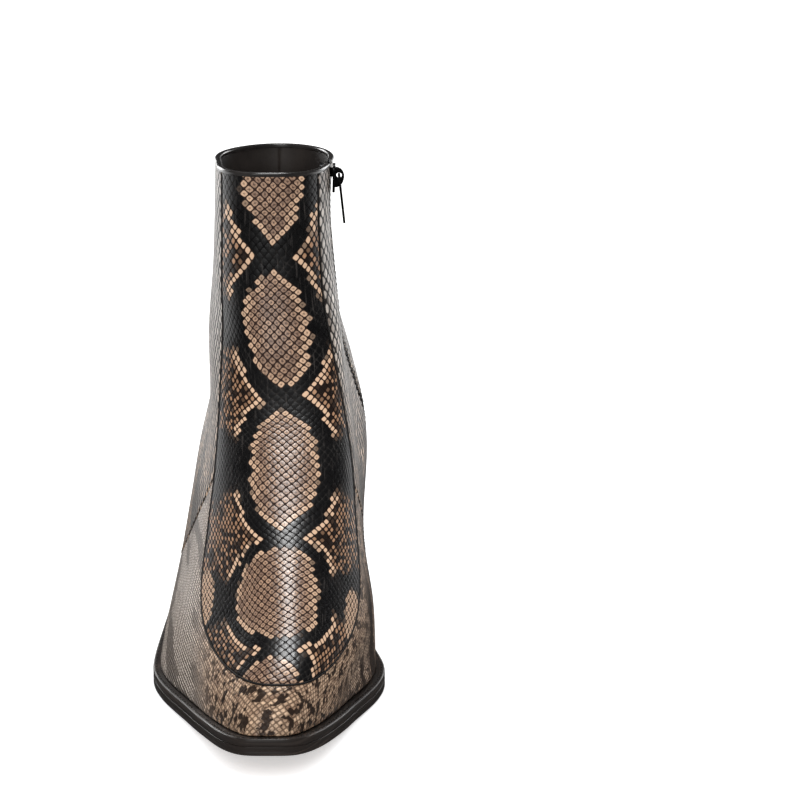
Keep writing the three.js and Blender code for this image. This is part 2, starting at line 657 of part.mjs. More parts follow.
function addPuller() {
  const half = PULLER_WIDTH / 2;
  const tipZ = half - PULLER_LENGTH;
  const blade = new THREE.Shape();
  blade.moveTo(-half, PULLER_BAR);
  blade.lineTo(half, PULLER_BAR);
  blade.lineTo(half, -PULLER_SHOULDER);
  blade.quadraticCurveTo(half / 2, -PULLER_SHOULDER - 3, half * PULLER_WAIST, tipZ);
  blade.absarc(0, tipZ, half * PULLER_WAIST, 0, -Math.PI, true);
  blade.quadraticCurveTo(-half / 2, -PULLER_SHOULDER - 3, -half, -PULLER_SHOULDER);
  const window = new THREE.Path();        // wound against the blade's outline, as a hole is
  window.moveTo(-WINDOW_HALF, -PULLER_BAR);
  window.lineTo(-WINDOW_HALF, -WINDOW_LENGTH);
  window.lineTo(WINDOW_HALF, -WINDOW_LENGTH);
  window.lineTo(WINDOW_HALF, -PULLER_BAR);
  blade.holes.push(window);
  const thickness = PULLER_THICKNESS / 2;
  const puller = add('zip_puller', plateAlongX(blade, -thickness, thickness), blackMetal);
  const hingeAxis = new THREE.Vector3(0, 1, 0);
  const pivot = new THREE.Vector3(PIVOT_X, 0, PIVOT_Z).applyAxisAngle(hingeAxis, SLIDER_ANGLE);
  puller.position.set(SLIDER_X, ZIP_Y, SLIDER_Z).add(pivot);
  puller.rotation.y = -THREE.MathUtils.degToRad(PULLER_LEAN);
}

addSlider();
addPuller();

// ---------------------------------------------------------------- sole

// A point of the foot's outline on the floor plan, grown outwards. turn runs from 0 at the toe to
// +-PI at the heel, negative on the outer side.
function outline(turn, grow) {
  const side = turn < 0 ? -1 : 1;
  const station = (1 + Math.cos(turn)) / 2;
  const t = Math.abs(2 * station - 1);
  const n = station > 0.5 ? frontRoundness(1) : backRoundness(1);
  const reach = Math.max(0, 1 - t ** n) ** (1 / n);
  const lean = frontLean(1) * smoothstep(station, 0.3, 1);
  const growth = grow(station, side);
  const toe = frontY(1) - grow(1, side);
  const heel = backY(1) + grow(0, side);
  const x = lean + side * (halfWidth(1, station, side) + growth) * reach;
  return new THREE.Vector2(x, lerp(heel, toe, station));
}

function soleGrow(station, side) {
  const edge = side < 0 ? SOLE_EDGE_LATERAL : SOLE_EDGE_MEDIAL;
  const front = lerp(edge, SOLE_EDGE_TOE, smoothstep(station, 0.85, 1));
  return lerp(SEAT_EDGE, front, smoothstep(station, 0.25, 0.5));
}

const inset = (millimetres) => () => -millimetres;

// A plate that fills the outline between two turns, with its faces at heights above the sole's underside.
function solePlate(grow, turnToe, turnHeel, lowZ, highZ, cellsLong, cellsAcross) {
  return mapped(cellsAcross, cellsLong, 1, (a, b, c) => {
    const turn = lerp(turnToe, turnHeel, b);
    const outer = outline(-turn, grow);
    const inner = outline(turn, grow);
    const y = outer.y;
    return new THREE.Vector3(lerp(outer.x, inner.x, a), y, underside(y) + (c ? highZ(y) : lowZ(y)));
  });
}

// A band that follows the outline between two turns.
function soleBand(innerGrow, outerGrow, turnA, turnB, low, high, cells) {
  return mapped(cells, 1, 1, (a, b, c) => {
    const turn = lerp(turnA, turnB, a);
    const wrappedTurn = turn > Math.PI ? turn - 2 * Math.PI : turn;
    const point = outline(wrappedTurn, b ? outerGrow : innerGrow);
    return new THREE.Vector3(point.x, point.y, underside(point.y) + (c ? high : low));
  });
}

const constant = (value) => () => value;
const TOE_TURN = 0.02;
const HEEL_TURN = Math.PI - 0.03;
const WELT_LOW = OUTSOLE + GAP;
const WELT_TURN = 2.06;                   // where the welt ends, near the heel breast
const RAND_TURN = WELT_TURN + 0.02;
const WELT_INSET = 6;
const CORK_TURN = [0.35, 1.5];
const INSOLE_INSET = 5.2;
const INSOLE = 2;
const INSOLE_TURN = [0.25, HEEL_TURN - 0.1];
const PAD = 1.5;                          // cork under the heel of the foot
const PAD_TURN = [2.25, HEEL_TURN - 0.15];
const PAD_RISE = 2.4;                     // how far the sock liner climbs over the pad
const PAD_RAMP_Y = [62, 80];
const SOCK = 1.1;
const SOCK_TURN = [0.28, HEEL_TURN - 0.12];
const SHANK_START_Y = 2;
const SHANK_HALF = 7;
const SHANK = 1.6;

const SCREW_Y = 106;
const SCREW_RADIUS = 2;
const SCREW_CLEAR_Z = 80;                 // above every sole layer at the screw
const screwHole = (lowZ) => bar(0, SCREW_Y, lowZ, SCREW_CLEAR_Z, SCREW_RADIUS + GAP);

function addSole() {
  add('outsole', cut(
    solePlate(soleGrow, TOE_TURN, HEEL_TURN, constant(0), constant(OUTSOLE), 44, 2),
    screwHole(underside(SCREW_Y) - LIFT)), soleLeather);
  const band = (turnA, turnB, cells) => soleBand(
    inset(WELT_INSET), soleGrow, turnA, turnB, WELT_LOW, WELT_LOW + WELT, cells);
  add('welt', band(-WELT_TURN, WELT_TURN, 72), soleEdge);
  add('heel_rand', band(RAND_TURN, 2 * Math.PI - RAND_TURN, 26), soleEdge);
  add('cork_filler', solePlate(inset(WELT_INSET + 1), ...CORK_TURN,
    constant(WELT_LOW), constant(WELT_LOW + WELT), 16, 2), cork);
  add('steel_shank', mapped(2, 16, 1, (a, b, c) => {
    const y = lerp(SHANK_START_Y, SCREW_Y - 3 * SCREW_RADIUS, b);
    const z = underside(y) + WELT_LOW + 0.2 + c * SHANK;
    return new THREE.Vector3(lerp(-SHANK_HALF, SHANK_HALF, a), y, z);
  }), steel);
}

function addInsole() {
  const low = FEATHER + GAP;
  const high = low + INSOLE;
  add('insole_board', cut(
    solePlate(inset(INSOLE_INSET), ...INSOLE_TURN, constant(low), constant(high), 30, 2),
    screwHole(underside(SCREW_Y) - LIFT)), stiffener);
  add('heel_pad', solePlate(inset(INSOLE_INSET + 3), ...PAD_TURN,
    constant(high + GAP), constant(high + GAP + PAD), 10, 2), cork);
  const padRise = (y) => PAD_RISE * smoothstep(y, ...PAD_RAMP_Y);
  add('sock_liner', solePlate(inset(INSOLE_INSET + 0.4), ...SOCK_TURN,
    (y) => high + GAP + padRise(y), (y) => high + GAP + SOCK + padRise(y), 30, 2), lining);
}

addSole();
addInsole();

// ---------------------------------------------------------------- heel

// A slice of the D shaped heel between two heights; the last one follows the slope of the sole.
function heelSlice(lowZ, highZ) {
  const slopeHeight = underside(HEEL_BREAST);
  const isLast = highZ === slopeHeight;
  return mapped(6, 8, 1, (a, b, c) => {
    const along = Math.min(Math.sin((b * Math.PI) / 2), 0.9985);
    const z = c ? highZ : lowZ;
    const rise = clamp(z / slopeHeight, 0, 1);
    const back = lerp(HEEL_BACK_FLOOR, HEEL_BACK_TOP, rise);
    const half = lerp(HEEL_HALF_FLOOR, HEEL_HALF_TOP, rise);
    const round = clamp((along - HEEL_ROUND_START) / (1 - HEEL_ROUND_START), 0, 1);
    const reach = (1 - round ** 2.4) ** (1 / 2.2);
    const across = 2 * a - 1;
    const hollow = HEEL_HOLLOW * (1 - across * across) * (1 - along);
    const y = lerp(HEEL_BREAST, back, along) + hollow;
    return new THREE.Vector3(half * across * reach, y, c && isLast ? underside(y) - GAP : z);
  });
}

const NAILS = [[-15, 88], [15, 88], [-12, 112], [12, 112]];
const NAIL_RADIUS = 0.9;
const NAIL_LOW_Z = 1.5;
const NAIL_HIGH_Z = TOP_PIECE + 2 * LIFT - 2;
const SCREW_LOW_Z = TOP_PIECE + 3 * LIFT - 4;
const SCREW_HIGH_Z = underside(SCREW_Y) + FEATHER + 1.8;
const NAIL_SIDES = 8;

function addHeel() {
  const hole = ([x, y]) => bar(x, y, -LIFT, NAIL_HIGH_Z + LIFT, NAIL_RADIUS + GAP, NAIL_SIDES);
  const nailHoles = NAILS.map(hole);
  add('heel_top_piece', cut(heelSlice(0, TOP_PIECE), ...nailHoles), rubber);
  let z = TOP_PIECE + GAP;
  for (let i = 1; i <= LIFT_COUNT; i += 1) {
    const isTop = i === LIFT_COUNT;
    const high = isTop ? underside(HEEL_BREAST) : z + LIFT;
    const holes = i <= 2 ? nailHoles : [screwHole(SCREW_LOW_Z - 2)];
    add(isTop ? 'heel_wedge' : `heel_lift_${i}`, cut(heelSlice(z, high), ...holes), heelLeather);
    z = high + GAP;
  }
  NAILS.forEach(([x, y], i) => {
    add(`heel_nail_${i + 1}`, bar(x, y, NAIL_LOW_Z, NAIL_HIGH_Z, NAIL_RADIUS, NAIL_SIDES), steel);
  });
  add('heel_screw', bar(0, SCREW_Y, SCREW_LOW_Z, SCREW_HIGH_Z, SCREW_RADIUS), steel);
}

addHeel();

export default boot;
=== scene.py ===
"""Western ankle boot with a side zip: finished leather, zip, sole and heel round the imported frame."""
import logging
import math
from dataclasses import dataclass, field
from enum import Enum
from typing import Callable, Mapping, Sequence

import bmesh
import bpy
import numpy as np
from mathutils import Euler, Matrix, Vector


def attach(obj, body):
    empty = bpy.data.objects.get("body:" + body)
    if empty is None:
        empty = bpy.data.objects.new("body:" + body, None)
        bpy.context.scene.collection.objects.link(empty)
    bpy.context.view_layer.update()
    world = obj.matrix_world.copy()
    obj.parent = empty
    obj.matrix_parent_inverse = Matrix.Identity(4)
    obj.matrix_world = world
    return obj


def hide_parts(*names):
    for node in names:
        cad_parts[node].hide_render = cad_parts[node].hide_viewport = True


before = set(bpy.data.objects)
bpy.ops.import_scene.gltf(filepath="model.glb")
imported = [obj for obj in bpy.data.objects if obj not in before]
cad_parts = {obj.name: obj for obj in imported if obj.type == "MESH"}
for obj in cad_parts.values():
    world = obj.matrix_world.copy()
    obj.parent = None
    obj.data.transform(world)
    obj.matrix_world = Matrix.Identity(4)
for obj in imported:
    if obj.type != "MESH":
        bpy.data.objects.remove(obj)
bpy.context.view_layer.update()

LOG = logging.getLogger("boot")
MM = 0.001

Keys = Sequence[tuple[float, float]]
Socket = bpy.types.NodeSocket
Sockets = Mapping[str, Socket]
Value = float | Socket


class Side(Enum):
    """Which side of the foot, as the sign of g."""

    LATERAL = -1
    MEDIAL = 1


# ---------------------------------------------------------------- the boot's form


def smooth_rows(xs: np.ndarray, rows: np.ndarray, x: np.ndarray) -> np.ndarray:
    """Smooth curves through shared x values, one curve for each row.

    Args:
        xs: The keys' x values, rising.
        rows: The keys' y values, one row for each curve.
        x: Where to read the curves.

    Returns:
        One row for each curve and one column for each x.
    """
    slopes = np.diff(rows, axis=1) / np.diff(xs)
    middle = (slopes[:, 1:] + slopes[:, :-1]) / 2
    tangents = np.concatenate([slopes[:, :1], middle, slopes[:, -1:]], axis=1)
    i = np.clip(np.searchsorted(xs, x, side="right") - 1, 0, len(xs) - 2)
    width = xs[i + 1] - xs[i]
    t = (x - xs[i]) / width
    rise = rows[:, i + 1] - rows[:, i]
    first = tangents[:, i] * width
    second = tangents[:, i + 1] * width
    return rows[:, i] + t * (first + t * (3 * rise - 2 * first - second + t * (first + second - 2 * rise)))


def smooth(keys: Keys, x: np.ndarray | float) -> np.ndarray:
    """Reads one smooth curve through (x, y) keys."""
    table = np.array(keys, dtype=float)
    return smooth_rows(table[:, 0], table[:, 1:2].T, np.atleast_1d(x))[0]


def ease(x: np.ndarray, low: float, high: float) -> np.ndarray:
    """Smooth step from 0 at low to 1 at high."""
    t = np.clip((x - low) / (high - low), 0, 1)
    return t * t * (3 - 2 * t)


def mix(a: np.ndarray | float, b: np.ndarray | float, t: np.ndarray | float) -> np.ndarray:
    """Straight blend from a to b."""
    return a + (b - a) * t


@dataclass
class BootForm:
    """The upper's outer face and the sole's outline, in millimetres, as the frame has them.

    v runs from the topline (0) to the feather edge (1). g runs round each ring from the front centre (0) to
    the back seam: -1 on the outer side, +1 on the inner side.
    """

    shift: tuple[float, float] = (0.49, 2.05)
    back_line: Sequence[tuple[float, float, float]] = (
        (0, 127, 198.5), (0.2, 124.5, 172), (0.4, 122.8, 146), (0.6, 126, 118),
        (0.8, 132.5, 90), (0.95, 134.8, 70), (1, 133.5, 61.5),
    )
    front_line: Sequence[tuple[float, float, float]] = (
        (0, 25, 203.5), (0.1, 22.5, 174), (0.2, 19, 149), (0.3, 11, 127), (0.4, -5, 108), (0.5, -27, 91),
        (0.6, -50, 75), (0.7, -74, 60), (0.8, -98, 46), (0.9, -119, 34), (0.96, -130, 25), (1, -134.5, 15),
    )
    stations: Sequence[float] = (0, 0.2, 0.4, 0.6, 0.8, 1)
    lateral_widths: Sequence[tuple[float, Sequence[float]]] = (
        (0, (24, 26.2, 26.2, 24.5, 24, 23.5)),
        (0.2, (25, 27.2, 27.2, 26.5, 26, 25)),
        (0.4, (27, 29.6, 29.6, 28.7, 28.5, 28)),
        (0.6, (28.5, 29.5, 29, 30, 31.5, 30)),
        (0.7, (30, 30.8, 33.2, 34.3, 34.5, 29)),
        (0.8, (30.5, 32.6, 36, 38.5, 37, 25)),
        (0.9, (31, 34, 38.5, 43, 36.5, 20)),
        (1, (31, 33, 40, 46, 30.3, 15)),
    )
    medial_widths: Sequence[tuple[float, Sequence[float]]] = (
        (0, (24, 25, 25, 24, 23.5, 23.5)),
        (0.1, (24, 23.4, 23.3, 23.3, 23.5, 23.8)),
        (0.2, (25, 24.5, 24.3, 24.3, 24.5, 25)),
        (0.4, (27, 28, 27.6, 27, 27.5, 28)),
        (0.55, (29, 34.5, 34, 31, 31.5, 31)),
        (0.67, (30, 38, 38.8, 34, 33, 30)),
        (0.8, (30.5, 37, 36.5, 35, 34.5, 25)),
        (0.9, (31, 35.5, 35, 38.8, 33, 20)),
        (1, (31, 33, 28, 41.8, 28.2, 15)),
    )
    back_roundness: Keys = ((0, 2.2), (0.55, 2.3), (1, 2.4))
    front_roundness: Keys = ((0, 3), (0.3, 2.7), (0.55, 2.4), (0.8, 2.5), (1, 4.5))
    front_lean: Keys = ((0, 0), (0.2, 2), (0.3, 5), (0.6, 8), (0.87, 9.5), (1, 3.7))
    lean_start: float = 0.3
    bend_start: float = 0.15
    bend_power: float = 2.2
    underside_line: Keys = (
        (-139, 8), (-115, 4.6), (-90, 1.8), (-60, 0.2), (-35, 0), (-10, 2.8),
        (10, 10), (40, 29), (70, 45.5), (100, 52), (139, 54.5),
    )
    feather: float = 7.0
    ring_steps: int = 72
    rows: int = 240
    half_columns: int = 160
    normal_step: tuple[float, float] = (0.012, 0.025)

    lateral_seam: Keys = ((0, 0.228), (0.15, 0.238), (0.33, 0.28), (0.6, 0.283), (0.75, 0.268), (0.93, 0.25))
    medial_seam: Keys = (
        (0, 0.194), (0.15, 0.187), (0.28, 0.178), (0.45, 0.222), (0.62, 0.234), (0.75, 0.215), (0.93, 0.18),
    )
    round_start: float = 0.7
    panel_end: float = 0.921
    panel_roundness: float = 2.5
    wrap_start: float = 0.6
    wrap_seam: float = 0.62
    bottom_v: float = 1.0
    zip_y: float = 62
    points: np.ndarray = field(init=False, repr=False)
    around: np.ndarray = field(init=False, repr=False)
    down: np.ndarray = field(init=False, repr=False)

    def __post_init__(self) -> None:
        """Works out the table of points, and the lengths round and down it."""
        v = np.linspace(0, 1, self.rows + 1)
        halves = [self._half_ring(v, side) for side in (Side.LATERAL, Side.MEDIAL)]
        (lateral, lateral_round), (medial, medial_round) = halves
        self.points = np.concatenate([lateral[:, :0:-1], medial], axis=1)
        self.around = np.concatenate([-lateral_round[:, :0:-1], medial_round], axis=1)
        steps = np.linalg.norm(np.diff(self.points, axis=0), axis=2)
        self.down = np.concatenate([np.zeros((1, steps.shape[1])), np.cumsum(steps, axis=0)])

    def _half_ring(self, v: np.ndarray, side: Side) -> tuple[np.ndarray, np.ndarray]:
        """Points and lengths of each half ring, evenly spaced by length.

        Args:
            v: Height fractions of the rings.
            side: Which half.

        Returns:
            The points as rows of rings, and the length from the front centre to each.
        """
        station = (1 + np.cos(np.pi * np.arange(self.ring_steps + 1) / self.ring_steps)) / 2
        table = self.lateral_widths if side is Side.LATERAL else self.medial_widths
        heights = np.array([row[0] for row in table], dtype=float)
        columns = np.array([row[1] for row in table], dtype=float).T
        width = smooth_rows(np.array(self.stations), smooth_rows(heights, columns, v).T, station)
        front = smooth(self.front_roundness, v)[:, None]
        back = smooth(self.back_roundness, v)[:, None]
        power = np.where(station[None] > 0.5, front, back)
        reach = np.maximum(0, 1 - np.abs(2 * station[None] - 1) ** power) ** (1 / power)
        lean = smooth(self.front_lean, v)[:, None] * ease(station, self.lean_start, 1)[None]
        back_y, back_z = (smooth([(k[0], k[i]) for k in self.back_line], v)[:, None] for i in (1, 2))
        front_y, front_z = (smooth([(k[0], k[i]) for k in self.front_line], v)[:, None] for i in (1, 2))
        foot_y = mix(self.back_line[-1][1], self.front_line[-1][1], station)
        arch = self.underside(foot_y) + self.feather - mix(self.back_line[-1][2], self.front_line[-1][2], station)
        bend = np.clip((v - self.bend_start) / (1 - self.bend_start), 0, 1) ** self.bend_power
        ring = np.stack([
            lean + side.value * width * reach,
            mix(back_y, front_y, station[None]),
            mix(back_z, front_z, station[None]) + bend[:, None] * arch[None],
        ], axis=2)
        lengths = np.linalg.norm(np.diff(ring, axis=1), axis=2).cumsum(axis=1)
        lengths = np.concatenate([np.zeros((len(v), 1)), lengths], axis=1)
        even = np.linspace(0, 1, self.half_columns + 1)
        target = even[None] * lengths[:, -1:]
        resampled = np.empty((len(v), len(even), 3))
        for i in range(len(v)):
            for axis in range(3):
                resampled[i, :, axis] = np.interp(target[i], lengths[i], ring[i, :, axis])
        resampled += np.array([*self.shift, 0])
        return resampled, target

    def underside(self, y: np.ndarray) -> np.ndarray:
        """Height of the sole's underside at y, on the unshifted boot."""
        return np.maximum(0, smooth(self.underside_line, y))

    def _read(self, table: np.ndarray, v: np.ndarray, g: np.ndarray) -> np.ndarray:
        """Reads a table between its rows and columns."""
        g = (g + 1) % 2 - 1
        row = np.clip(v, 0, 1) * self.rows
        column = (g + 1) * self.half_columns
        i = np.minimum(row.astype(int), self.rows - 1)
        j = np.minimum(column.astype(int), 2 * self.half_columns - 1)
        s, t = row - i, column - j
        if table.ndim == 3:
            s, t = s[..., None], t[..., None]
        top = mix(table[i, j], table[i, j + 1], t)
        bottom = mix(table[i + 1, j], table[i + 1, j + 1], t)
        return mix(top, bottom, s)

    def upper(self, v: np.ndarray, g: np.ndarray, depth: np.ndarray | float = 0.0) -> np.ndarray:
        """Points a depth inside the upper's outer face."""
        v, g = np.broadcast_arrays(np.asarray(v, float), np.asarray(g, float))
        depth = np.broadcast_to(depth, v.shape)
        return self._read(self.points, v, g) - self.normal(v, g) * depth[..., None]

    def normal(self, v: np.ndarray, g: np.ndarray) -> np.ndarray:
        """Directions straight out of the upper."""
        step_v, step_g = self.normal_step
        low, high = np.clip(v - step_v, 0, 1), np.clip(v + step_v, 0, 1)
        down = self._read(self.points, high, g) - self._read(self.points, low, g)
        around = self._read(self.points, v, g + step_g) - self._read(self.points, v, g - step_g)
        normal = np.cross(down, around)
        return normal / np.linalg.norm(normal, axis=-1, keepdims=True)

    def flat(self, v: np.ndarray, g: np.ndarray) -> np.ndarray:
        """Places on the flattened leather: millimetres round from the front centre, and down the leg."""
        v, g = np.broadcast_arrays(np.asarray(v, float), np.asarray(g, float))
        return np.stack([self._read(self.around, v, g), self._read(self.down, v, g)], axis=-1)

    def half_length(self, v: np.ndarray, side: Side) -> np.ndarray:
        """Length of the half ring at a height fraction."""
        column = 0 if side is Side.LATERAL else -1
        return np.abs(np.interp(v, np.linspace(0, 1, self.rows + 1), self.around[:, column]))

    def panel_edge(self, v: np.ndarray, side: Side) -> np.ndarray:
        """The panel's side seam, as a share of the half ring."""
        return smooth(self.lateral_seam if side is Side.LATERAL else self.medial_seam, v)

    def panel_round(self, across: np.ndarray) -> tuple[np.ndarray, np.ndarray]:
        """The panel's round end, from the outer seam (-1) to the inner one (1).

        Args:
            across: Shares of the panel's half width.

        Returns:
            v and g of the end.
        """
        reach = np.maximum(0, 1 - np.abs(across) ** self.panel_roundness) ** (1 / self.panel_roundness)
        v = mix(self.round_start, self.panel_end, reach)
        edge = np.where(across < 0, self.panel_edge(v, Side.LATERAL), self.panel_edge(v, Side.MEDIAL))
        return v, across * edge

    def quarter_front(self, v: np.ndarray, side: Side) -> np.ndarray:
        """The quarters' front edge: along the panel, then down the side seam of the toe wrap."""
        start = self.panel_edge(self.wrap_start, side)[0]
        low = mix(start, self.wrap_seam, (v - self.wrap_start) / (1 - self.wrap_start))
        return np.where(v <= self.wrap_start, self.panel_edge(np.minimum(v, self.wrap_start), side), low)

    def zip_g(self, v: np.ndarray) -> np.ndarray:
        """Where the middle of the zip lies on the ring."""
        g = np.linspace(0, 1, self.half_columns + 1)
        middle = [np.interp(self.zip_y + self.shift[1], row, g) for row in self.points[:, self.half_columns:, 1]]
        return np.interp(v, np.linspace(0, 1, self.rows + 1), middle)

    def zip_v(self, z: float) -> float:
        """Height fraction of the zip line at a height."""
        v = np.linspace(0, 1, self.rows + 1)
        heights = self._read(self.points, v, self.zip_g(v))[:, 2]
        return float(np.interp(-z, -heights, v))

    def beside_zip(self, v: np.ndarray, distance: np.ndarray | float) -> np.ndarray:
        """g at a distance behind the middle of the zip, in millimetres."""
        return self.zip_g(v) + distance / self.half_length(v, Side.MEDIAL)

    def outline(self, turn: np.ndarray, grow: Callable[[np.ndarray, np.ndarray], np.ndarray]) -> np.ndarray:
        """The foot's outline on the floor plan, grown outwards.

        Args:
            turn: 0 at the toe to +-pi at the heel, negative on the outer side.
            grow: Millimetres to grow by, from the station and the side.

        Returns:
            x and y of each point.
        """
        side = np.where(turn < 0, -1.0, 1.0)
        station = (1 + np.cos(turn)) / 2
        power = np.where(station > 0.5, self.front_roundness[-1][1], self.back_roundness[-1][1])
        reach = np.maximum(0, 1 - np.abs(2 * station - 1) ** power) ** (1 / power)
        lean = self.front_lean[-1][1] * ease(station, self.lean_start, 1)
        widths = np.array([self.lateral_widths[-1][1], self.medial_widths[-1][1]], dtype=float)
        both = smooth_rows(np.array(self.stations), widths, station)
        width = np.where(side < 0, both[0], both[1])
        toe = self.front_line[-1][1] - grow(np.ones_like(side), side)
        heel = self.back_line[-1][1] + grow(np.zeros_like(side), side)
        x = lean + side * (width + grow(station, side)) * reach
        return np.stack([x + self.shift[0], mix(heel, toe, station) + self.shift[1]], axis=-1)


# ---------------------------------------------------------------- making pieces


def finish_mesh(name: str, mesh: bmesh.types.BMesh, materials: Sequence[bpy.types.Material]) -> bpy.types.Object:
    """Turns a bmesh into a smooth shaded object at the origin.

    Args:
        name: The piece's name.
        mesh: The shape, in metres. It is freed.
        materials: What the piece's faces use, by index.

    Returns:
        The new object.
    """
    data = bpy.data.meshes.new(name)
    mesh.to_mesh(data)
    mesh.free()
    data.polygons.foreach_set("use_smooth", [True] * len(data.polygons))
    for material in materials:
        data.materials.append(material)
    piece = bpy.data.objects.new(name, data)
    bpy.context.scene.collection.objects.link(piece)
    return piece


def grid_mesh(points: np.ndarray, flat: np.ndarray, mesh: bmesh.types.BMesh | None = None) -> bmesh.types.BMesh:
    """A grid of faces moved on to a block of points.

    Args:
        points: Rows by columns by xyz, in millimetres.
        flat: Rows by columns by place on the flattened piece, in millimetres.
        mesh: The bmesh to add to, or none for a new one.

    Returns:
        The bmesh, in metres, with the flattened places as its UV map.
    """
    mesh = mesh or bmesh.new()
    rows, columns = points.shape[:2]
    made = bmesh.ops.create_grid(mesh, x_segments=columns - 1, y_segments=rows - 1, size=0.5)
    layer = mesh.loops.layers.uv.get("flat") or mesh.loops.layers.uv.new("flat")
    place = {}
    for vertex in made["verts"]:
        column = round((vertex.co.x + 0.5) * (columns - 1))
        row = round((vertex.co.y + 0.5) * (rows - 1))
        place[vertex] = flat[row, column] * MM
        vertex.co = points[row, column] * MM
    for face in {f for vertex in made["verts"] for f in vertex.link_faces}:
        for loop in face.loops:
            loop[layer].uv = place[loop.vert]
    return mesh


def sheet_piece(
    name: str, points: np.ndarray, flat: np.ndarray, thickness: float, material: bpy.types.Material
) -> bpy.types.Object:
    """A leather or fabric piece with its face on a block of points and its thickness inside.

    Args:
        name: The piece's name.
        points: Rows down the boot by columns round it, in millimetres.
        flat: The same block on the flattened piece.
        thickness: Millimetres.
        material: Its finish.

    Returns:
        The new object.
    """
    mesh = grid_mesh(points, flat)
    bmesh.ops.reverse_faces(mesh, faces=mesh.faces[:])
    piece = finish_mesh(name, mesh, [material])
    solid = piece.modifiers.new("thickness", "SOLIDIFY")
    solid.thickness = thickness * MM
    solid.offset = -1
    solid.use_even_offset = False
    return piece


def loft_piece(
    name: str,
    rings: Sequence[np.ndarray],
    materials: Sequence[bpy.types.Material],
    bands: Sequence[int] = (),
) -> bpy.types.Object:
    """A closed solid through closed rings. Its first and last rings are each one point or one doubled line.

    Args:
        name: The piece's name.
        rings: Rings of the same number of points, in millimetres.
        materials: The finishes.
        bands: The finish's index for each strip between two rings, all 0 by default.

    Returns:
        The new object.
    """
    points = np.array(rings)
    points = np.concatenate([points, points[:, :1]], axis=1)
    steps = np.linalg.norm(np.diff(points, axis=1), axis=2)
    along = np.concatenate([[0], np.cumsum(steps[np.argmax(steps.sum(axis=1))])])
    hops = np.linalg.norm(np.diff(points, axis=0), axis=2).max(axis=1)
    across = np.concatenate([[0], np.cumsum(hops)])
    flat = np.stack(np.broadcast_arrays(along[None, :], across[:, None]), axis=-1)
    mesh = grid_mesh(points, flat)
    if bands:
        mesh.faces.ensure_lookup_table()
        strip = len(points[0]) - 1
        for i, face in enumerate(mesh.faces):
            face.material_index = bands[i // strip]
    bmesh.ops.remove_doubles(mesh, verts=mesh.verts[:], dist=1e-7)
    bmesh.ops.recalc_face_normals(mesh, faces=mesh.faces[:])
    return finish_mesh(name, mesh, materials)


def tube_rings(path: np.ndarray, up: np.ndarray, radius: float, sides: int) -> list[np.ndarray]:
    """Rings of a round cord along a path, closed to a point at both ends.

    Args:
        path: Points, in millimetres.
        up: A direction across the path at each point.
        radius: Millimetres.
        sides: Points in each ring.

    Returns:
        One ring for each path point, and one point ring at each end.
    """
    tangent = np.gradient(path, axis=0)
    tangent /= np.linalg.norm(tangent, axis=1, keepdims=True)
    side = np.cross(tangent, up)
    side /= np.linalg.norm(side, axis=1, keepdims=True)
    lift = np.cross(side, tangent)
    angle = 2 * np.pi * np.arange(sides)[:, None] / sides
    rings = [np.repeat(path[:1], sides, axis=0)]
    for centre, across, high in zip(path, side, lift):
        rings.append(centre + radius * (np.cos(angle) * across + np.sin(angle) * high))
    rings.append(np.repeat(path[-1:], sides, axis=0))
    return rings


def stitch_piece(
    name: str, path: np.ndarray, up: np.ndarray, pitch: float, length: float, radius: float,
    material: bpy.types.Material,
) -> bpy.types.Object:
    """A row of thread stitches, each a small capsule that dips in at its ends.

    Args:
        name: The piece's name.
        path: Points along the row on the leather's face, in millimetres.
        up: The leather's outward direction at each point.
        pitch: Millimetres from stitch to stitch.
        length: Millimetres of thread that shows.
        radius: The thread's radius.
        material: Its finish.

    Returns:
        The new object.
    """
    lengths = np.concatenate([[0], np.cumsum(np.linalg.norm(np.diff(path, axis=0), axis=1))])
    mesh = bmesh.new()
    for middle in np.arange(pitch / 2, lengths[-1], pitch):
        ends = [
            np.array([np.interp(middle + s * length / 2, lengths, path[:, k]) for k in range(3)])
            for s in (-1, 1)]
        high = np.array([np.interp(middle, lengths, up[:, k]) for k in range(3)])
        forward = Vector(ends[1] - ends[0]).normalized()
        lift = Vector(high).normalized()
        across = forward.cross(lift).normalized()
        turn = Matrix((forward, across, across.cross(forward) * -1)).transposed().to_4x4()
        scale = Matrix.Diagonal((length / 2 * MM, radius * MM, radius * MM, 1))
        place = Matrix.Translation(Vector((ends[0] + ends[1]) / 2) * MM)
        bmesh.ops.create_uvsphere(mesh, u_segments=6, v_segments=6, radius=1, matrix=place @ turn @ scale)
    bmesh.ops.recalc_face_normals(mesh, faces=mesh.faces[:])
    return finish_mesh(name, mesh, [material])


def settle(piece: bpy.types.Object, body: str, slot: str, *nodes: str) -> None:
    """Sets the piece's body, hides the frame's nodes that it stands for, and logs it."""
    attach(piece, body)
    if nodes:
        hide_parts(*nodes)
    LOG.info("%s: %d faces", piece.name, len(piece.data.polygons))


# ---------------------------------------------------------------- materials


@dataclass(frozen=True)
class Colour:
    """A colour as it is seen, 0 to 255 each."""

    red: int
    green: int
    blue: int

    def linear(self) -> tuple[float, float, float, float]:
        """The same colour as the shaders take it."""
        def channel(value: int) -> float:
            """One channel."""
            share = value / 255
            return share / 12.92 if share <= 0.04045 else ((share + 0.055) / 1.055) ** 2.4
        return channel(self.red), channel(self.green), channel(self.blue), 1.0


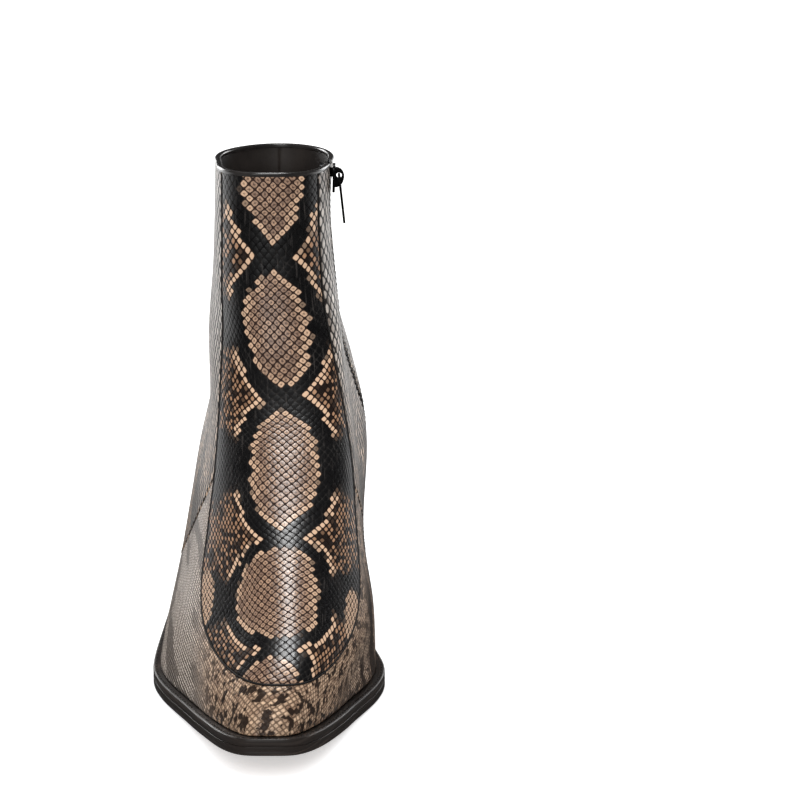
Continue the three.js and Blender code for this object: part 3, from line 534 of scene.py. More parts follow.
class Graph:
    """Lays nodes in one node tree and joins them."""

    def __init__(self, tree: bpy.types.NodeTree) -> None:
        """Starts on a tree."""
        self.tree = tree

    def node(self, kind: str, inputs: dict[str | int, object] | None = None, **settings: object) -> bpy.types.Node:
        """Adds a node.

        Args:
            kind: The node's type.
            inputs: Values or sockets for its inputs.
            settings: The node's own settings.

        Returns:
            The node.
        """
        made = self.tree.nodes.new(kind)
        for key, value in settings.items():
            setattr(made, key, value)
        for key, value in (inputs or {}).items():
            self.feed(made.inputs[key], value)
        return made

    def feed(self, target: Socket, value: object) -> None:
        """Joins a socket to an input, or sets the input's own value or colour."""
        if isinstance(value, bpy.types.NodeSocket):
            self.tree.links.new(value, target)
        else:
            target.default_value = value.linear() if isinstance(value, Colour) else value

    def math(self, operation: str, *values: Value, clamp: bool = False) -> Socket:
        """A Math node on one to three values."""
        inputs = dict(enumerate(values))
        return self.node("ShaderNodeMath", inputs, operation=operation, use_clamp=clamp).outputs[0]

    def step(self, value: Value, low: float, high: float) -> Socket:
        """0 below low and 1 above high, smooth between. With low above high it falls instead."""
        inputs = {"Value": value, "From Min": low, "From Max": high}
        return self.node("ShaderNodeMapRange", inputs, interpolation_type="SMOOTHSTEP").outputs[0]

    def blend(self, factor: Value, a: object, b: object, mode: str = "MIX") -> Socket:
        """A colour mix."""
        made = self.node("ShaderNodeMix", data_type="RGBA", blend_type=mode)
        for index, value in ((0, factor), (6, a), (7, b)):
            self.feed(made.inputs[index], value)
        return made.outputs[2]

    def place(self, across: Socket, down: Socket) -> Socket:
        """A place on the flattened leather, in metres, from millimetres across and down."""
        inputs = {"X": self.math("MULTIPLY", across, MM), "Y": self.math("MULTIPLY", down, MM)}
        return self.node("ShaderNodeCombineXYZ", inputs).outputs[0]

    def wander(self, place: Socket, scale: float, reach: float) -> Socket:
        """A place moved about by smooth noise, up to half of reach, in millimetres, each way."""
        cloud = self.node("ShaderNodeTexNoise", {"Vector": place, "Scale": scale, "Detail": 1.0}).outputs["Color"]
        middle = self.node("ShaderNodeVectorMath", {0: cloud, 1: (0.5, 0.5, 0.5)}, operation="SUBTRACT").outputs[0]
        inputs = {0: middle, 1: (reach * MM, reach * MM, 0.0), 2: place}
        return self.node("ShaderNodeVectorMath", inputs, operation="MULTIPLY_ADD").outputs[0]

    def streaks(self, place: Socket, across: float, along: float, detail: float = 3.0) -> Socket:
        """Noise drawn out down the leather: cells per metre across it and along it."""
        drawn = self.node("ShaderNodeMapping", {"Vector": place, "Scale": (across, along, 1.0)}).outputs[0]
        return self.noise(drawn, 1.0, detail)

    def noise(self, place: Socket, scale: float, detail: float = 2.0, roughness: float = 0.5) -> Socket:
        """Noise between 0 and 1."""
        inputs = {"Vector": place, "Scale": scale, "Detail": detail, "Roughness": roughness}
        return self.node("ShaderNodeTexNoise", inputs).outputs["Fac"]

    def curve(self, value: Socket, keys: Keys, span: tuple[float, float], height: float) -> Socket:
        """A smooth curve through (x, y) keys over a span, with sharp corners where y is 0.

        Args:
            value: Where to read it.
            keys: The keys.
            span: The lowest and highest x.
            height: The highest y.

        Returns:
            The curve's value.
        """
        low, high = span
        share = self.node("ShaderNodeMapRange", {"Value": value, "From Min": low, "From Max": high}).outputs[0]
        made = self.node("ShaderNodeFloatCurve", {"Value": share})
        points = made.mapping.curves[0].points
        placed = [((x - low) / (high - low), y / height) for x, y in keys]
        points[0].location, points[1].location = placed[0], placed[-1]
        for x, y in placed[1:-1]:
            points.new(x, y)
        for point in points:
            point.handle_type = "VECTOR" if point.location[1] < 1e-4 else "AUTO_CLAMPED"
        made.mapping.update()
        return self.math("MULTIPLY", made.outputs[0], height)


def make_group(
    name: str, inputs: dict[str, str], outputs: dict[str, str]
) -> tuple[Graph, Sockets, bpy.types.Node]:
    """Starts a node group.

    Args:
        name: The group's name.
        inputs: Socket kinds by name.
        outputs: Socket kinds by name.

    Returns:
        Its graph, its inputs' sockets and its output node.
    """
    tree = bpy.data.node_groups.new(name, "ShaderNodeTree")
    for direction, sockets in (("INPUT", inputs), ("OUTPUT", outputs)):
        for label, kind in sockets.items():
            tree.interface.new_socket(name=label, in_out=direction, socket_type=f"NodeSocket{kind}")
    graph = Graph(tree)
    return graph, graph.node("NodeGroupInput").outputs, graph.node("NodeGroupOutput")


def scale_group() -> bpy.types.NodeTree:
    """Rows of rhombic scales on the flattened leather: for each point, its own scale's place, edge and chance."""
    graph, given, out = make_group(
        "rhombic scales",
        {"Across": "Float", "Down": "Float", "Width": "Float", "Height": "Float"},
        {"Centre Across": "Float", "Centre Down": "Float", "Edge": "Float", "Middle": "Float", "Chance": "Float",
         "Height": "Float"},
    )
    m = graph.math
    u = m("DIVIDE", given["Across"], given["Width"])
    w = m("DIVIDE", given["Down"], given["Height"])
    a, b = m("ADD", u, w), m("SUBTRACT", u, w)
    row, column = m("ROUND", a), m("ROUND", b)
    la, lb = m("ABSOLUTE", m("SUBTRACT", a, row)), m("ABSOLUTE", m("SUBTRACT", b, column))
    corner, fullness = 3.4, 0.45
    radius = m("POWER", m("ADD", m("POWER", la, corner), m("POWER", lb, corner)), 1 / corner)
    edge = m("MULTIPLY", radius, 2)
    half_width, half_height = (m("MULTIPLY", given[label], 0.5) for label in ("Width", "Height"))
    graph.feed(out.inputs["Centre Across"], m("MULTIPLY", m("ADD", row, column), half_width))
    graph.feed(out.inputs["Centre Down"], m("MULTIPLY", m("SUBTRACT", row, column), half_height))
    graph.feed(out.inputs["Edge"], edge)
    graph.feed(out.inputs["Middle"], graph.step(edge, 0.42, 0.18))
    cell = graph.node("ShaderNodeCombineXYZ", {"X": row, "Y": column}).outputs[0]
    chance = graph.node("ShaderNodeTexWhiteNoise", {"Vector": cell}, noise_dimensions="2D").outputs["Value"]
    graph.feed(out.inputs["Chance"], chance)
    graph.feed(out.inputs["Height"], m("POWER", m("SUBTRACT", 1, edge, clamp=True), fullness))
    return graph.tree


def hide_grain_group() -> bpy.types.NodeTree:
    """Fine leather grain: pebbles and pores, as a height between 0 and 1."""
    graph, given, out = make_group(
        "hide grain", {"Vector": "Vector", "Pebbles": "Float"}, {"Height": "Float", "Patches": "Float"})
    pebbles = graph.node(
        "ShaderNodeTexVoronoi", {"Vector": given["Vector"], "Scale": given["Pebbles"]}, feature="SMOOTH_F1")
    fine = graph.noise(given["Vector"], 2600, 3)
    coarse = graph.math("MULTIPLY", pebbles.outputs["Distance"], 0.7)
    graph.feed(out.inputs["Height"], graph.math("ADD", coarse, graph.math("MULTIPLY", fine, 0.3)))
    graph.feed(out.inputs["Patches"], graph.noise(given["Vector"], 60, 3))
    return graph.tree


class Print(Enum):
    """Which part of the skin a leather piece is cut from."""

    BACK = "python panel"
    FLANK = "python side"
    TOE = "python toe"


@dataclass(frozen=True)
class PythonLeather:
    """Glossy leather with a python print, drawn on the flattened leather in millimetres."""

    tan: Colour = Colour(188, 152, 124)
    tan_shade: Colour = Colour(138, 110, 92)
    tan_speckle: Colour = Colour(84, 62, 50)
    tan_dot: Colour = Colour(74, 54, 44)
    rim: Colour = Colour(214, 178, 147)
    network: Colour = Colour(50, 36, 30)
    umber: Colour = Colour(44, 31, 25)
    black: Colour = Colour(15, 14, 15)
    black_line: Colour = Colour(96, 92, 88)
    black_hair: Colour = Colour(88, 82, 78)
    diamond: Colour = Colour(32, 23, 19)
    diamond_dot: Colour = Colour(176, 134, 102)
    pale: Colour = Colour(206, 195, 184)
    sand: Colour = Colour(198, 164, 132)
    ash: Colour = Colour(104, 88, 76)
    flank_dark: Colour = Colour(22, 19, 18)
    toe_light: Colour = Colour(222, 188, 156)
    toe_shade: Colour = Colour(146, 116, 94)
    # Pale grey of the toe's sides: partly the skin's own colour, partly painted sheen on the outer side.
    toe_pale_and_sheen: Colour = Colour(226, 214, 202)
    toe_grain: Colour = Colour(104, 78, 60)
    toe_dark: Colour = Colour(34, 25, 21)
    crossings: Sequence[float] = (-26, 35.6, 95.7, 166.8, 226.6, 288)
    half_widths: Sequence[float] = (15, 16.5, 18.2, 24, 22)
    middles: Keys = (
        (-26, 0), (8, 0), (64, -1.3), (130, -1.4), (166, -2), (198, -9), (220, -3), (240, -9), (288, -8),
    )
    leaf: Keys = (
        (0.05, 0.0), (0.18, 0.62), (0.34, 0.91), (0.5, 1.0), (0.66, 0.91), (0.82, 0.62), (0.95, 0.0),
    )
    band_leaf: Keys = ((0.2, 0.66), (0.5, 1.0), (0.8, 0.66))
    band: float = 7.0
    patches: Sequence[tuple[tuple[float, float], float, float]] = (((-60, 196), 9, 15), ((42, 204), 9, 12))
    back_scale: tuple[float, float] = (3.9, 3.8)
    flank_scale: tuple[float, float] = (6.4, 6.0)
    toe_scale: tuple[float, float] = (2.8, 2.4)
    relief_depth: float = 0.00024
    roughness: float = 0.26
    specular: tuple[float, float] = (0.05, 0.45)
    coat: float = 0.08
    coat_roughness: float = 0.14
    dark_dulling: float = 0.85

    def dress(self, part: Print, groups: dict[str, bpy.types.NodeTree]) -> bpy.types.Material:
        """Makes the material for one part of the skin.

        Args:
            part: Which print.
            groups: The shared node groups.

        Returns:
            The material.
        """
        material, graph, shader = new_material(part.value)
        m = graph.math
        surface = graph.node("ShaderNodeUVMap", uv_map="flat").outputs[0]
        moved = graph.wander(graph.wander(surface, 24.0, 9.0 if part is Print.BACK else 5.0), 150.0, 1.3)
        parts = graph.node("ShaderNodeSeparateXYZ", {0: moved})
        across = m("MULTIPLY", parts.outputs[0], 1 / MM)
        down = m("MULTIPLY", parts.outputs[1], 1 / MM)
        (width, height), draw, reads = {
            Print.BACK: (self.back_scale, self._back, ()),
            Print.FLANK: (self.flank_scale, self._flank, (across, down)),
            Print.TOE: (self.toe_scale, self._toe, (across,)),
        }[part]
        scales = graph.node("ShaderNodeGroup", node_tree=groups["scales"])
        for label, value in (("Across", across), ("Down", down), ("Width", width), ("Height", height)):
            graph.feed(scales.inputs[label], value)
        colour, dark = draw(graph, scales.outputs, surface, *reads)
        gap = graph.step(scales.outputs["Edge"], 0.8, 0.96)
        fine = graph.noise(surface, 1400, 3)
        relief = m("ADD", m("MULTIPLY", scales.outputs["Height"], 0.8), m("MULTIPLY", fine, 0.16))
        bump = graph.node("ShaderNodeBump", {"Strength": 0.5, "Distance": self.relief_depth, "Height": relief})
        graph.feed(shader.inputs["Base Color"], colour)
        patches = graph.noise(surface, 45, 3)
        roughness = m("ADD", m("ADD", self.roughness, m("MULTIPLY", patches, 0.14)), m("MULTIPLY", gap, 0.16))
        graph.feed(shader.inputs["Roughness"], roughness)
        graph.feed(shader.inputs["Normal"], bump.outputs[0])
        shine = m("SUBTRACT", 1, m("MAXIMUM", gap, m("MULTIPLY", dark, self.dark_dulling)))
        dull, glossy = self.specular
        graph.feed(shader.inputs["Specular IOR Level"], m("ADD", dull, m("MULTIPLY", shine, glossy)))
        graph.feed(shader.inputs["Coat Weight"], m("MULTIPLY", shine, self.coat))
        shader.inputs["Coat Roughness"].default_value = self.coat_roughness
        return material

    def _back(self, graph: Graph, scales: Sockets, surface: Socket) -> tuple[Socket, Value]:
        """The front panel: a chain of medallions between two crossing black bands, and dotted diamonds beside.

        Args:
            graph: The material's graph.
            scales: The scale group's outputs.
            surface: The flattened place as a vector, in metres.

        Returns:
            The colour, and 0 because the panel's blacks shine as the rest does.
        """
        m = graph.math
        chance, edge = scales["Chance"], scales["Edge"]
        inside, band, row, near = self._bands(graph, scales["Centre Across"], scales["Centre Down"], chance)
        rim = graph.step(inside, 5.0, 1.2)
        speckle = graph.step(graph.noise(surface, 1300, 2), 0.46, 0.6)
        speckled = m("MULTIPLY", speckle, m("SUBTRACT", 0.62, m("MULTIPLY", rim, 0.38)))
        dot = m("MULTIPLY", scales["Middle"], m("SUBTRACT", 0.85, m("MULTIPLY", rim, 0.3)))
        scale = graph.blend(rim, graph.blend(chance, self.tan, self.tan_shade), self.rim)
        scale = graph.blend(dot, graph.blend(speckled, scale, self.tan_speckle), self.tan_dot)
        tan_scale = graph.blend(graph.step(edge, 0.7, 0.9), scale, self.network)

        broken = graph.step(graph.noise(surface, 70, 2), 0.42, 0.6)
        lines = m("MULTIPLY", graph.step(edge, 0.86, 0.98), broken)
        hair = graph.step(graph.streaks(surface, 900, 80), 0.56, 0.72)
        black = graph.blend(m("MULTIPLY", lines, 0.16), self.black, self.black_line)
        black = graph.blend(m("MULTIPLY", hair, 0.3), black, self.black_hair)

        dotted = m("MULTIPLY", graph.step(edge, 0.76, 0.56), graph.step(chance, 0.18, 0.75))
        cell = graph.blend(m("MULTIPLY", dotted, 0.9), self.diamond, self.diamond_dot)
        cell = graph.blend(row, cell, graph.blend(graph.step(edge, 0.68, 0.86), self.rim, self.umber))
        colour = graph.blend(band, graph.blend(near, black, cell), black)
        worn = graph.blend(m("MULTIPLY", speckle, 0.5), tan_scale, self.umber)
        for (x, y), half, tall in self.patches:
            side = m("DIVIDE", m("SUBTRACT", scales["Centre Across"], x), half)
            low = m("DIVIDE", m("SUBTRACT", scales["Centre Down"], y), tall)
            patch = graph.step(m("ADD", m("MULTIPLY", side, side), m("MULTIPLY", low, low)), 1.1, 0.8)
            colour = graph.blend(patch, colour, worn)
        return graph.blend(graph.step(inside, -0.4, 0.4), colour, tan_scale), 0.0

    def _bands(
        self, graph: Graph, across: Socket, down: Socket, chance: Socket
    ) -> tuple[Socket, Socket, Socket, Socket]:
        """The print's outline at a scale's middle.

        Args:
            graph: The material's graph.
            across: The scale's place round the leg.
            down: The scale's place down the leg.
            chance: The scale's own chance, which frays the outline.

        Returns:
            Millimetres inside the medallion, the black band, the dotted row along it, and the side diamonds.
        """
        m = graph.math
        span = (self.crossings[0], self.crossings[-1])
        tallest = 40.0
        medallions: list[tuple[float, float]] = [(span[0], 0.0)]
        bands: list[tuple[float, float]] = [(span[0], 0.0)]
        shares: list[tuple[float, float]] = [(span[0], 0.0)]
        for start, end, half in zip(self.crossings, self.crossings[1:], self.half_widths):
            for place, share in self.leaf:
                medallions.append((mix(start, end, place), half * share))
            for place, share in self.band_leaf:
                bands.append((mix(start, end, place), half * share))
                shares.append((mix(start, end, place), share))
            for keys in (medallions, bands, shares):
                keys.append((end, 0.0))
        lift = 20.0
        middle = graph.curve(down, [(x, y + lift) for x, y in self.middles], span, tallest)
        off = m("ABSOLUTE", m("SUBTRACT", across, m("SUBTRACT", middle, lift)))
        fray = m("MULTIPLY", m("SUBTRACT", chance, 0.5), 2.0)
        leaf = m("SUBTRACT", graph.curve(down, medallions, span, tallest), 2.2)
        inside = m("ADD", m("SUBTRACT", leaf, off), fray)
        beyond = m("SUBTRACT", off, graph.curve(down, bands, span, tallest))
        outer = m("SUBTRACT", beyond, m("ADD", fray, self.band))
        share = graph.curve(down, shares, span, 1.0)
        band = graph.step(outer, 0.4, -0.3)
        row = m("MULTIPLY", graph.step(outer, 4.8, 4.0), graph.step(share, 0.97, 0.9))
        near = graph.step(m("ADD", share, m("MULTIPLY", outer, 0.004)), 0.99, 0.9)
        return inside, band, row, near

    def _flank(
        self, graph: Graph, scales: Sockets, surface: Socket, across: Socket, down: Socket
    ) -> tuple[Socket, Socket]:
        """The sides: pale belly scales, darker and browner towards the sole, with more dark patches low on the inner
        side.

        Args:
            graph: The material's graph.
            scales: The scale group's outputs.
            surface: The flattened place as a vector, in metres.
            across: Millimetres round from the front centre.
            down: Millimetres down from the topline.

        Returns:
            The colour, and how dark the print is.
        """
        m = graph.math
        low = graph.step(down, 60, 150)
        medial = graph.step(across, -20, 40)
        base = graph.blend(low, self.pale, self.sand)
        base = graph.blend(m("MULTIPLY", scales["Chance"], 0.8), base, self.ash)
        centre = graph.place(scales["Centre Across"], scales["Centre Down"])
        cloud = m("ADD", graph.streaks(centre, 40, 22, 3.0), m("MULTIPLY", m("MULTIPLY", low, medial), 0.06))
        patch = m("MULTIPLY", graph.step(cloud, 0.5, 0.56), m("ADD", 0.25, m("MULTIPLY", low, 0.65)))
        hair = m("MULTIPLY", graph.step(graph.streaks(surface, 420, 110), 0.48, 0.58), 0.7)
        gap = graph.step(scales["Edge"], 0.6, 0.84)
        dark = m("MAXIMUM", m("MAXIMUM", patch, hair), gap)
        return graph.blend(m("MULTIPLY", dark, 0.97), base, self.flank_dark), dark

    def _toe(
        self, graph: Graph, scales: Sockets, surface: Socket, across: Socket
    ) -> tuple[Socket, Socket]:
        """The toe: small tan scales with ragged dark brown spots, paler and greyer to the sides, most on the outer
        side, partly the skin's own colour and partly painted sheen.

        Args:
            graph: The material's graph.
            scales: The scale group's outputs.
            surface: The flattened place as a vector, in metres.
            across: Millimetres round from the front centre.

        Returns:
            The colour, and how dark the print is.
        """
        m = graph.math
        outwards = graph.step(m("ABSOLUTE", across), 34, 80)
        medial = graph.step(across, -10, 50)
        # Paler and greyer towards the sides, most on the outer side: partly the skin's paler side colour, partly
        # painted sheen.
        grey_and_sheen = m("MULTIPLY", outwards, m("SUBTRACT", 0.9, m("MULTIPLY", medial, 0.7)))
        grain = graph.step(graph.noise(surface, 800, 2), 0.4, 0.62)
        base = graph.blend(scales["Chance"], self.toe_light, self.toe_shade)
        base = graph.blend(grey_and_sheen, base, self.toe_pale_and_sheen)
        base = graph.blend(m("MULTIPLY", grain, 0.45), base, self.toe_grain)
        reach = m("SUBTRACT", 0.96, m("MULTIPLY", outwards, m("SUBTRACT", 0.85, m("MULTIPLY", medial, 0.7))))
        fray = m("MULTIPLY", m("SUBTRACT", scales["Chance"], 0.5), 0.05)
        blotches = m("ADD", graph.noise(surface, 210, 2, 0.6), fray)
        spots = m("MULTIPLY", graph.step(blotches, 0.51, 0.56), reach)
        centre = graph.place(scales["Centre Across"], scales["Centre Down"])
        drawn = graph.node("ShaderNodeMapping", {"Vector": centre, "Rotation": (0.0, 0.0, 0.9)}).outputs[0]
        cloud = m("ADD", graph.streaks(drawn, 80, 24, 4.0), m("MULTIPLY", medial, 0.04))
        strength = m("MULTIPLY", outwards, m("ADD", 0.7, m("MULTIPLY", medial, 0.25)))
        fields = m("MULTIPLY", graph.step(cloud, 0.52, 0.57), strength)
        gap = m("MULTIPLY", graph.step(scales["Edge"], 0.56, 0.8), m("ADD", 0.66, m("MULTIPLY", outwards, 0.28)))
        dark = m("MAXIMUM", m("MAXIMUM", spots, fields), gap)
        return graph.blend(dark, base, self.toe_dark), dark


def new_material(name: str) -> tuple[bpy.types.Material, Graph, bpy.types.Node]:
    """An empty material with a Principled shader.

    Args:
        name: The material's name.

    Returns:
        The material, its graph and its shader.
    """
    material = bpy.data.materials.new(name)
    material.use_nodes = True
    material.node_tree.nodes.clear()
    graph = Graph(material.node_tree)
    shader = graph.node("ShaderNodeBsdfPrincipled")
    graph.node("ShaderNodeOutputMaterial", {"Surface": shader.outputs[0]})
    return material, graph, shader


@dataclass(frozen=True)
class Hide:
    """Plain grained leather, fibre or rubber."""

    name: str
    colour: Colour
    worn: Colour
    roughness: float
    grain: float = 900
    depth: float = 0.0001
    strength: float = 0.4
    coat: float = 0.0
    metallic: float = 0.0

    def dress(self, groups: dict[str, bpy.types.NodeTree]) -> bpy.types.Material:
        """Makes the material."""
        material, graph, shader = new_material(self.name)
        place = graph.node("ShaderNodeTexCoord").outputs["Object"]
        grain = graph.node("ShaderNodeGroup", node_tree=groups["grain"])
        graph.feed(grain.inputs["Vector"], place)
        graph.feed(grain.inputs["Pebbles"], self.grain)
        patches = grain.outputs["Patches"]
        worn = graph.math("MULTIPLY", graph.step(patches, 0.35, 0.75), 0.6)
        speck = graph.math("MULTIPLY", grain.outputs["Height"], 0.35)
        graph.feed(shader.inputs["Base Color"], graph.blend(graph.math("ADD", worn, speck), self.colour, self.worn))
        rough = graph.math("ADD", self.roughness, graph.math("MULTIPLY", patches, 0.16))
        graph.feed(shader.inputs["Roughness"], rough)
        bump = graph.node(
            "ShaderNodeBump", {"Strength": self.strength, "Distance": self.depth, "Height": grain.outputs["Height"]})
        graph.feed(shader.inputs["Normal"], bump.outputs[0])
        shader.inputs["Metallic"].default_value = self.metallic
        shader.inputs["Coat Weight"].default_value = self.coat
        return material


@dataclass(frozen=True)
class Layered:
    """A sole or heel edge: leather layers, stained and waxed, with fine lines along them."""

    name: str
    colour: Colour
    line: Colour
    roughness: float = 0.34
    pitch: float = 0.9

    def dress(self) -> bpy.types.Material:
        """Makes the material."""
        material, graph, shader = new_material(self.name)
        place = graph.node("ShaderNodeTexCoord").outputs["Object"]
        stretched = graph.node("ShaderNodeMapping", {"Vector": place, "Scale": (14.0, 14.0, 1 / (self.pitch * MM))})
        fibres = graph.noise(stretched.outputs[0], 1.0, 4, 0.65)
        fine = graph.noise(place, 1800, 2)
        lines = graph.step(fibres, 0.5, 0.72)
        graph.feed(shader.inputs["Base Color"], graph.blend(lines, self.colour, self.line))
        rough = graph.math("ADD", self.roughness, graph.math("MULTIPLY", fibres, 0.2))
        graph.feed(shader.inputs["Roughness"], rough)
        height = graph.math("ADD", fibres, graph.math("MULTIPLY", fine, 0.3))
        bump = graph.node("ShaderNodeBump", {"Strength": 0.4, "Distance": 0.00012, "Height": height})
        graph.feed(shader.inputs["Normal"], bump.outputs[0])
        return material


@dataclass(frozen=True)
class Woven:
    """Zip tape or thread: fine ribs up and along the boot."""

    name: str
    colour: Colour
    light: Colour
    rib: float = 0.55
    wave: float = 0.32

    def dress(self) -> bpy.types.Material:
        """Makes the material."""
        material, graph, shader = new_material(self.name)
        place = graph.node("ShaderNodeTexCoord").outputs["Object"]
        inputs = {"Vector": place, "Scale": self.wave / (self.rib * MM)}
        ribs = [graph.node("ShaderNodeTexWave", inputs, bands_direction=axis).outputs["Fac"] for axis in "ZY"]
        weave = graph.math("MULTIPLY", *ribs)
        graph.feed(shader.inputs["Base Color"], graph.blend(weave, self.colour, self.light))
        bump = graph.node("ShaderNodeBump", {"Strength": 0.5, "Distance": 0.0001, "Height": weave})
        graph.feed(shader.inputs["Normal"], bump.outputs[0])
        shader.inputs["Roughness"].default_value = 0.75
        return material


class Finishes:
    """Every material of the boot."""

    def __init__(self) -> None:
        """Builds the shared groups, then each material once."""
        groups = {"scales": scale_group(), "grain": hide_grain_group()}
        skin = PythonLeather()
        self.back = skin.dress(Print.BACK, groups)
        self.flank = skin.dress(Print.FLANK, groups)
        self.toe = skin.dress(Print.TOE, groups)

        def hide(
            name: str, colour: Sequence[int], worn: Sequence[int], roughness: float, grain: float, **more: float
        ) -> bpy.types.Material:
            """One plain finish."""
            return Hide(name, Colour(*colour), Colour(*worn), roughness, grain, **more).dress(groups)

        fine = {"depth": 0.00003, "strength": 0.2}
        self.binding = hide(
            "binding leather", (24, 22, 22), (58, 54, 52), 0.22, 1100, depth=0.00006, strength=0.3, coat=0.4)
        self.cord = hide("seam cord", (18, 16, 16), (34, 30, 28), 0.5, 1500)
        self.lining = hide("lining leather", (36, 30, 27), (54, 46, 41), 0.55, 700, strength=0.35)
        self.board = hide("fibre board", (176, 152, 118), (140, 116, 86), 0.8, 1300)
        self.foam = hide("heel foam", (196, 180, 150), (170, 150, 120), 0.85, 600)
        self.cork = hide("cork", (172, 128, 84), (108, 74, 46), 0.85, 420, depth=0.0003, strength=0.6)
        self.rubber = hide("heel rubber", (22, 21, 21), (44, 42, 40), 0.6, 500)
        self.sole = hide("sole leather", (142, 104, 72), (112, 78, 52), 0.45, 800, depth=0.00008)
        self.metal = hide("black metal", (20, 20, 22), (44, 44, 46), 0.22, 900, coat=0.2, metallic=0.9, **fine)
        self.steel = hide("steel", (150, 152, 155), (110, 110, 112), 0.28, 900, metallic=1.0, **fine)
        self.edge = Layered("sole edge", Colour(40, 33, 29), Colour(70, 59, 52)).dress()
        self.stack = Layered("stacked heel leather", Colour(36, 28, 24), Colour(66, 52, 43), 0.4, 1.1).dress()
        self.tape = Woven("zip tape weave", Colour(14, 14, 14), Colour(38, 37, 36)).dress()
        self.thread = Woven("black thread", Colour(16, 15, 15), Colour(50, 48, 46), 0.3).dress()


# ---------------------------------------------------------------- the upper


@dataclass
class Upper:
    """Outer leather, seam cord, binding, stitches and linings."""

    form: BootForm
    finishes: Finishes
    leather: float = 1.15
    lining: float = 0.8
    lining_depth: tuple[float, float] = (1.3, 3.1)
    lining_slope: tuple[float, float] = (0.0, 0.09)
    top_v: float = 0.009
    tuck: float = 0.55
    tuck_width: float = 1.5
    seam_gap: float = 0.25
    zip_gap: float = 2.6
    zip_foot_z: float = 90

    def _tucked(self, distance: np.ndarray) -> np.ndarray:
        """How deep the leather's face rolls in near a seam, by distance from the edge."""
        return self.tuck * (1 - np.clip(distance / self.tuck_width, 0, 1)) ** 2

    def build(self) -> None:
        """Builds every piece of the upper."""
        self.panel()
        self.quarters()
        self.wrap()
        self.seam_cord()
        self.binding()
        self.linings()
        self.stitches()

    def panel(self) -> None:
        """The front panel, blunt and round over the toes."""
        form = self.form
        a, b = np.meshgrid(np.linspace(-1, 1, 105), np.linspace(0, 1, 220))
        across = 0.6 * np.sin(np.pi / 2 * a) + 0.4 * a
        end_v, _ = form.panel_round(across)
        v = mix(self.top_v, end_v - 0.001, b)
        edge = np.where(a < 0, form.panel_edge(v.ravel(), Side.LATERAL).reshape(v.shape),
                        form.panel_edge(v.ravel(), Side.MEDIAL).reshape(v.shape))
        half = np.where(a < 0, form.half_length(v, Side.LATERAL), form.half_length(v, Side.MEDIAL))
        g = across * (edge - self.seam_gap / half)
        to_side = (1 - np.abs(across)) * edge * half
        to_end = (end_v - v) * form.down[-1, form.half_columns]
        distance = 1 / np.sqrt(1 / np.maximum(to_side, 0.01) ** 2 + 1 / np.maximum(to_end, 0.01) ** 2)
        points = form.upper(v, g, self._tucked(distance))
        piece = sheet_piece("front_panel_leather", points, form.flat(v, g), self.leather, self.finishes.back)
        settle(piece, "root", "python_leather", "front_panel")

    def quarters(self) -> None:
        """The outer side, and the inner side in front of and behind the zip."""
        form = self.form
        foot = form.zip_v(self.zip_foot_z)

        def zip_edge(v: np.ndarray) -> np.ndarray:
            """Millimetres from the zip's middle to the leather, closing below the zip."""
            return mix(self.zip_gap, 0.2, ease(v, foot + 0.05, foot + 0.1))

        def front(v: np.ndarray, side: Side) -> np.ndarray:
            """The front edge's g."""
            return side.value * (form.quarter_front(v, side) + self.seam_gap / form.half_length(v, side))

        shares = {
            "lateral_quarter": (lambda v: front(v, Side.LATERAL), lambda v: np.full_like(v, -1.0), Side.LATERAL, 110),
            "medial_front_quarter": (
                lambda v: front(v, Side.MEDIAL), lambda v: form.beside_zip(v, -zip_edge(v)), Side.MEDIAL, 50),
            "medial_rear_quarter": (
                lambda v: form.beside_zip(v, zip_edge(v)), lambda v: np.full_like(v, 1.0), Side.MEDIAL, 70),
        }
        for node, (start, end, side, columns) in shares.items():
            v = np.linspace(self.top_v, form.bottom_v, 170)
            a = (1 - np.cos(np.pi * np.linspace(0, 1, columns))) / 2 * 0.5 + 0.5 * np.linspace(0, 1, columns)
            g = mix(start(v)[:, None], end(v)[:, None], a[None])
            vv = np.broadcast_to(v[:, None], g.shape)
            half = form.half_length(v, side)[:, None]
            distance = np.minimum(np.abs(g - start(v)[:, None]), np.abs(g - end(v)[:, None])) * half
            points = form.upper(vv, g, self._tucked(distance))
            if side is Side.LATERAL:
                points, g, vv = points[:, ::-1], g[:, ::-1], vv[:, ::-1]
            piece = sheet_piece(f"{node}_leather", points, form.flat(vv, g), self.leather, self.finishes.flank)
            settle(piece, "root", "python_leather", node)

    def wrap(self) -> None:
        """The leather round the toe, from the panel's end to the sole."""
        form = self.form
        round_share = 0.62
        t = np.linspace(-1, 1, 241)
        side_t = (np.abs(t) - round_share) / (1 - round_share)
        round_v, round_g = form.panel_round(np.sin(np.clip(t / round_share, -1, 1) * np.pi / 2))
        leg_v = mix(form.round_start, form.wrap_start, np.clip(side_t, 0, 1))
        leg_g = np.where(t < 0, -form.panel_edge(leg_v, Side.LATERAL), form.panel_edge(leg_v, Side.MEDIAL))
        inner_v, inner_g = np.where(side_t < 0, round_v, leg_v), np.where(side_t < 0, round_g, leg_g)
        reach = [form.quarter_front(np.array([form.bottom_v]), side)[0] for side in (Side.LATERAL, Side.MEDIAL)]
        outer_g = np.abs(t) * np.where(t < 0, -reach[0], reach[1])
        b = np.linspace(0, 1, 70)[:, None] ** 1.1
        v, g = mix(inner_v[None], form.bottom_v, b), mix(inner_g[None], outer_g[None], b)
        span = form.flat(np.full_like(inner_v, form.bottom_v), outer_g) - form.flat(inner_v, inner_g)
        distance = np.minimum(b * np.linalg.norm(span, axis=1)[None], (1 - np.abs(t))[None] * 130)
        points = form.upper(v, g, self._tucked(distance))
        piece = sheet_piece("toe_wrap_leather", points, form.flat(v, g), self.leather, self.finishes.toe)
        settle(piece, "root", "python_leather", "toe_wrap")

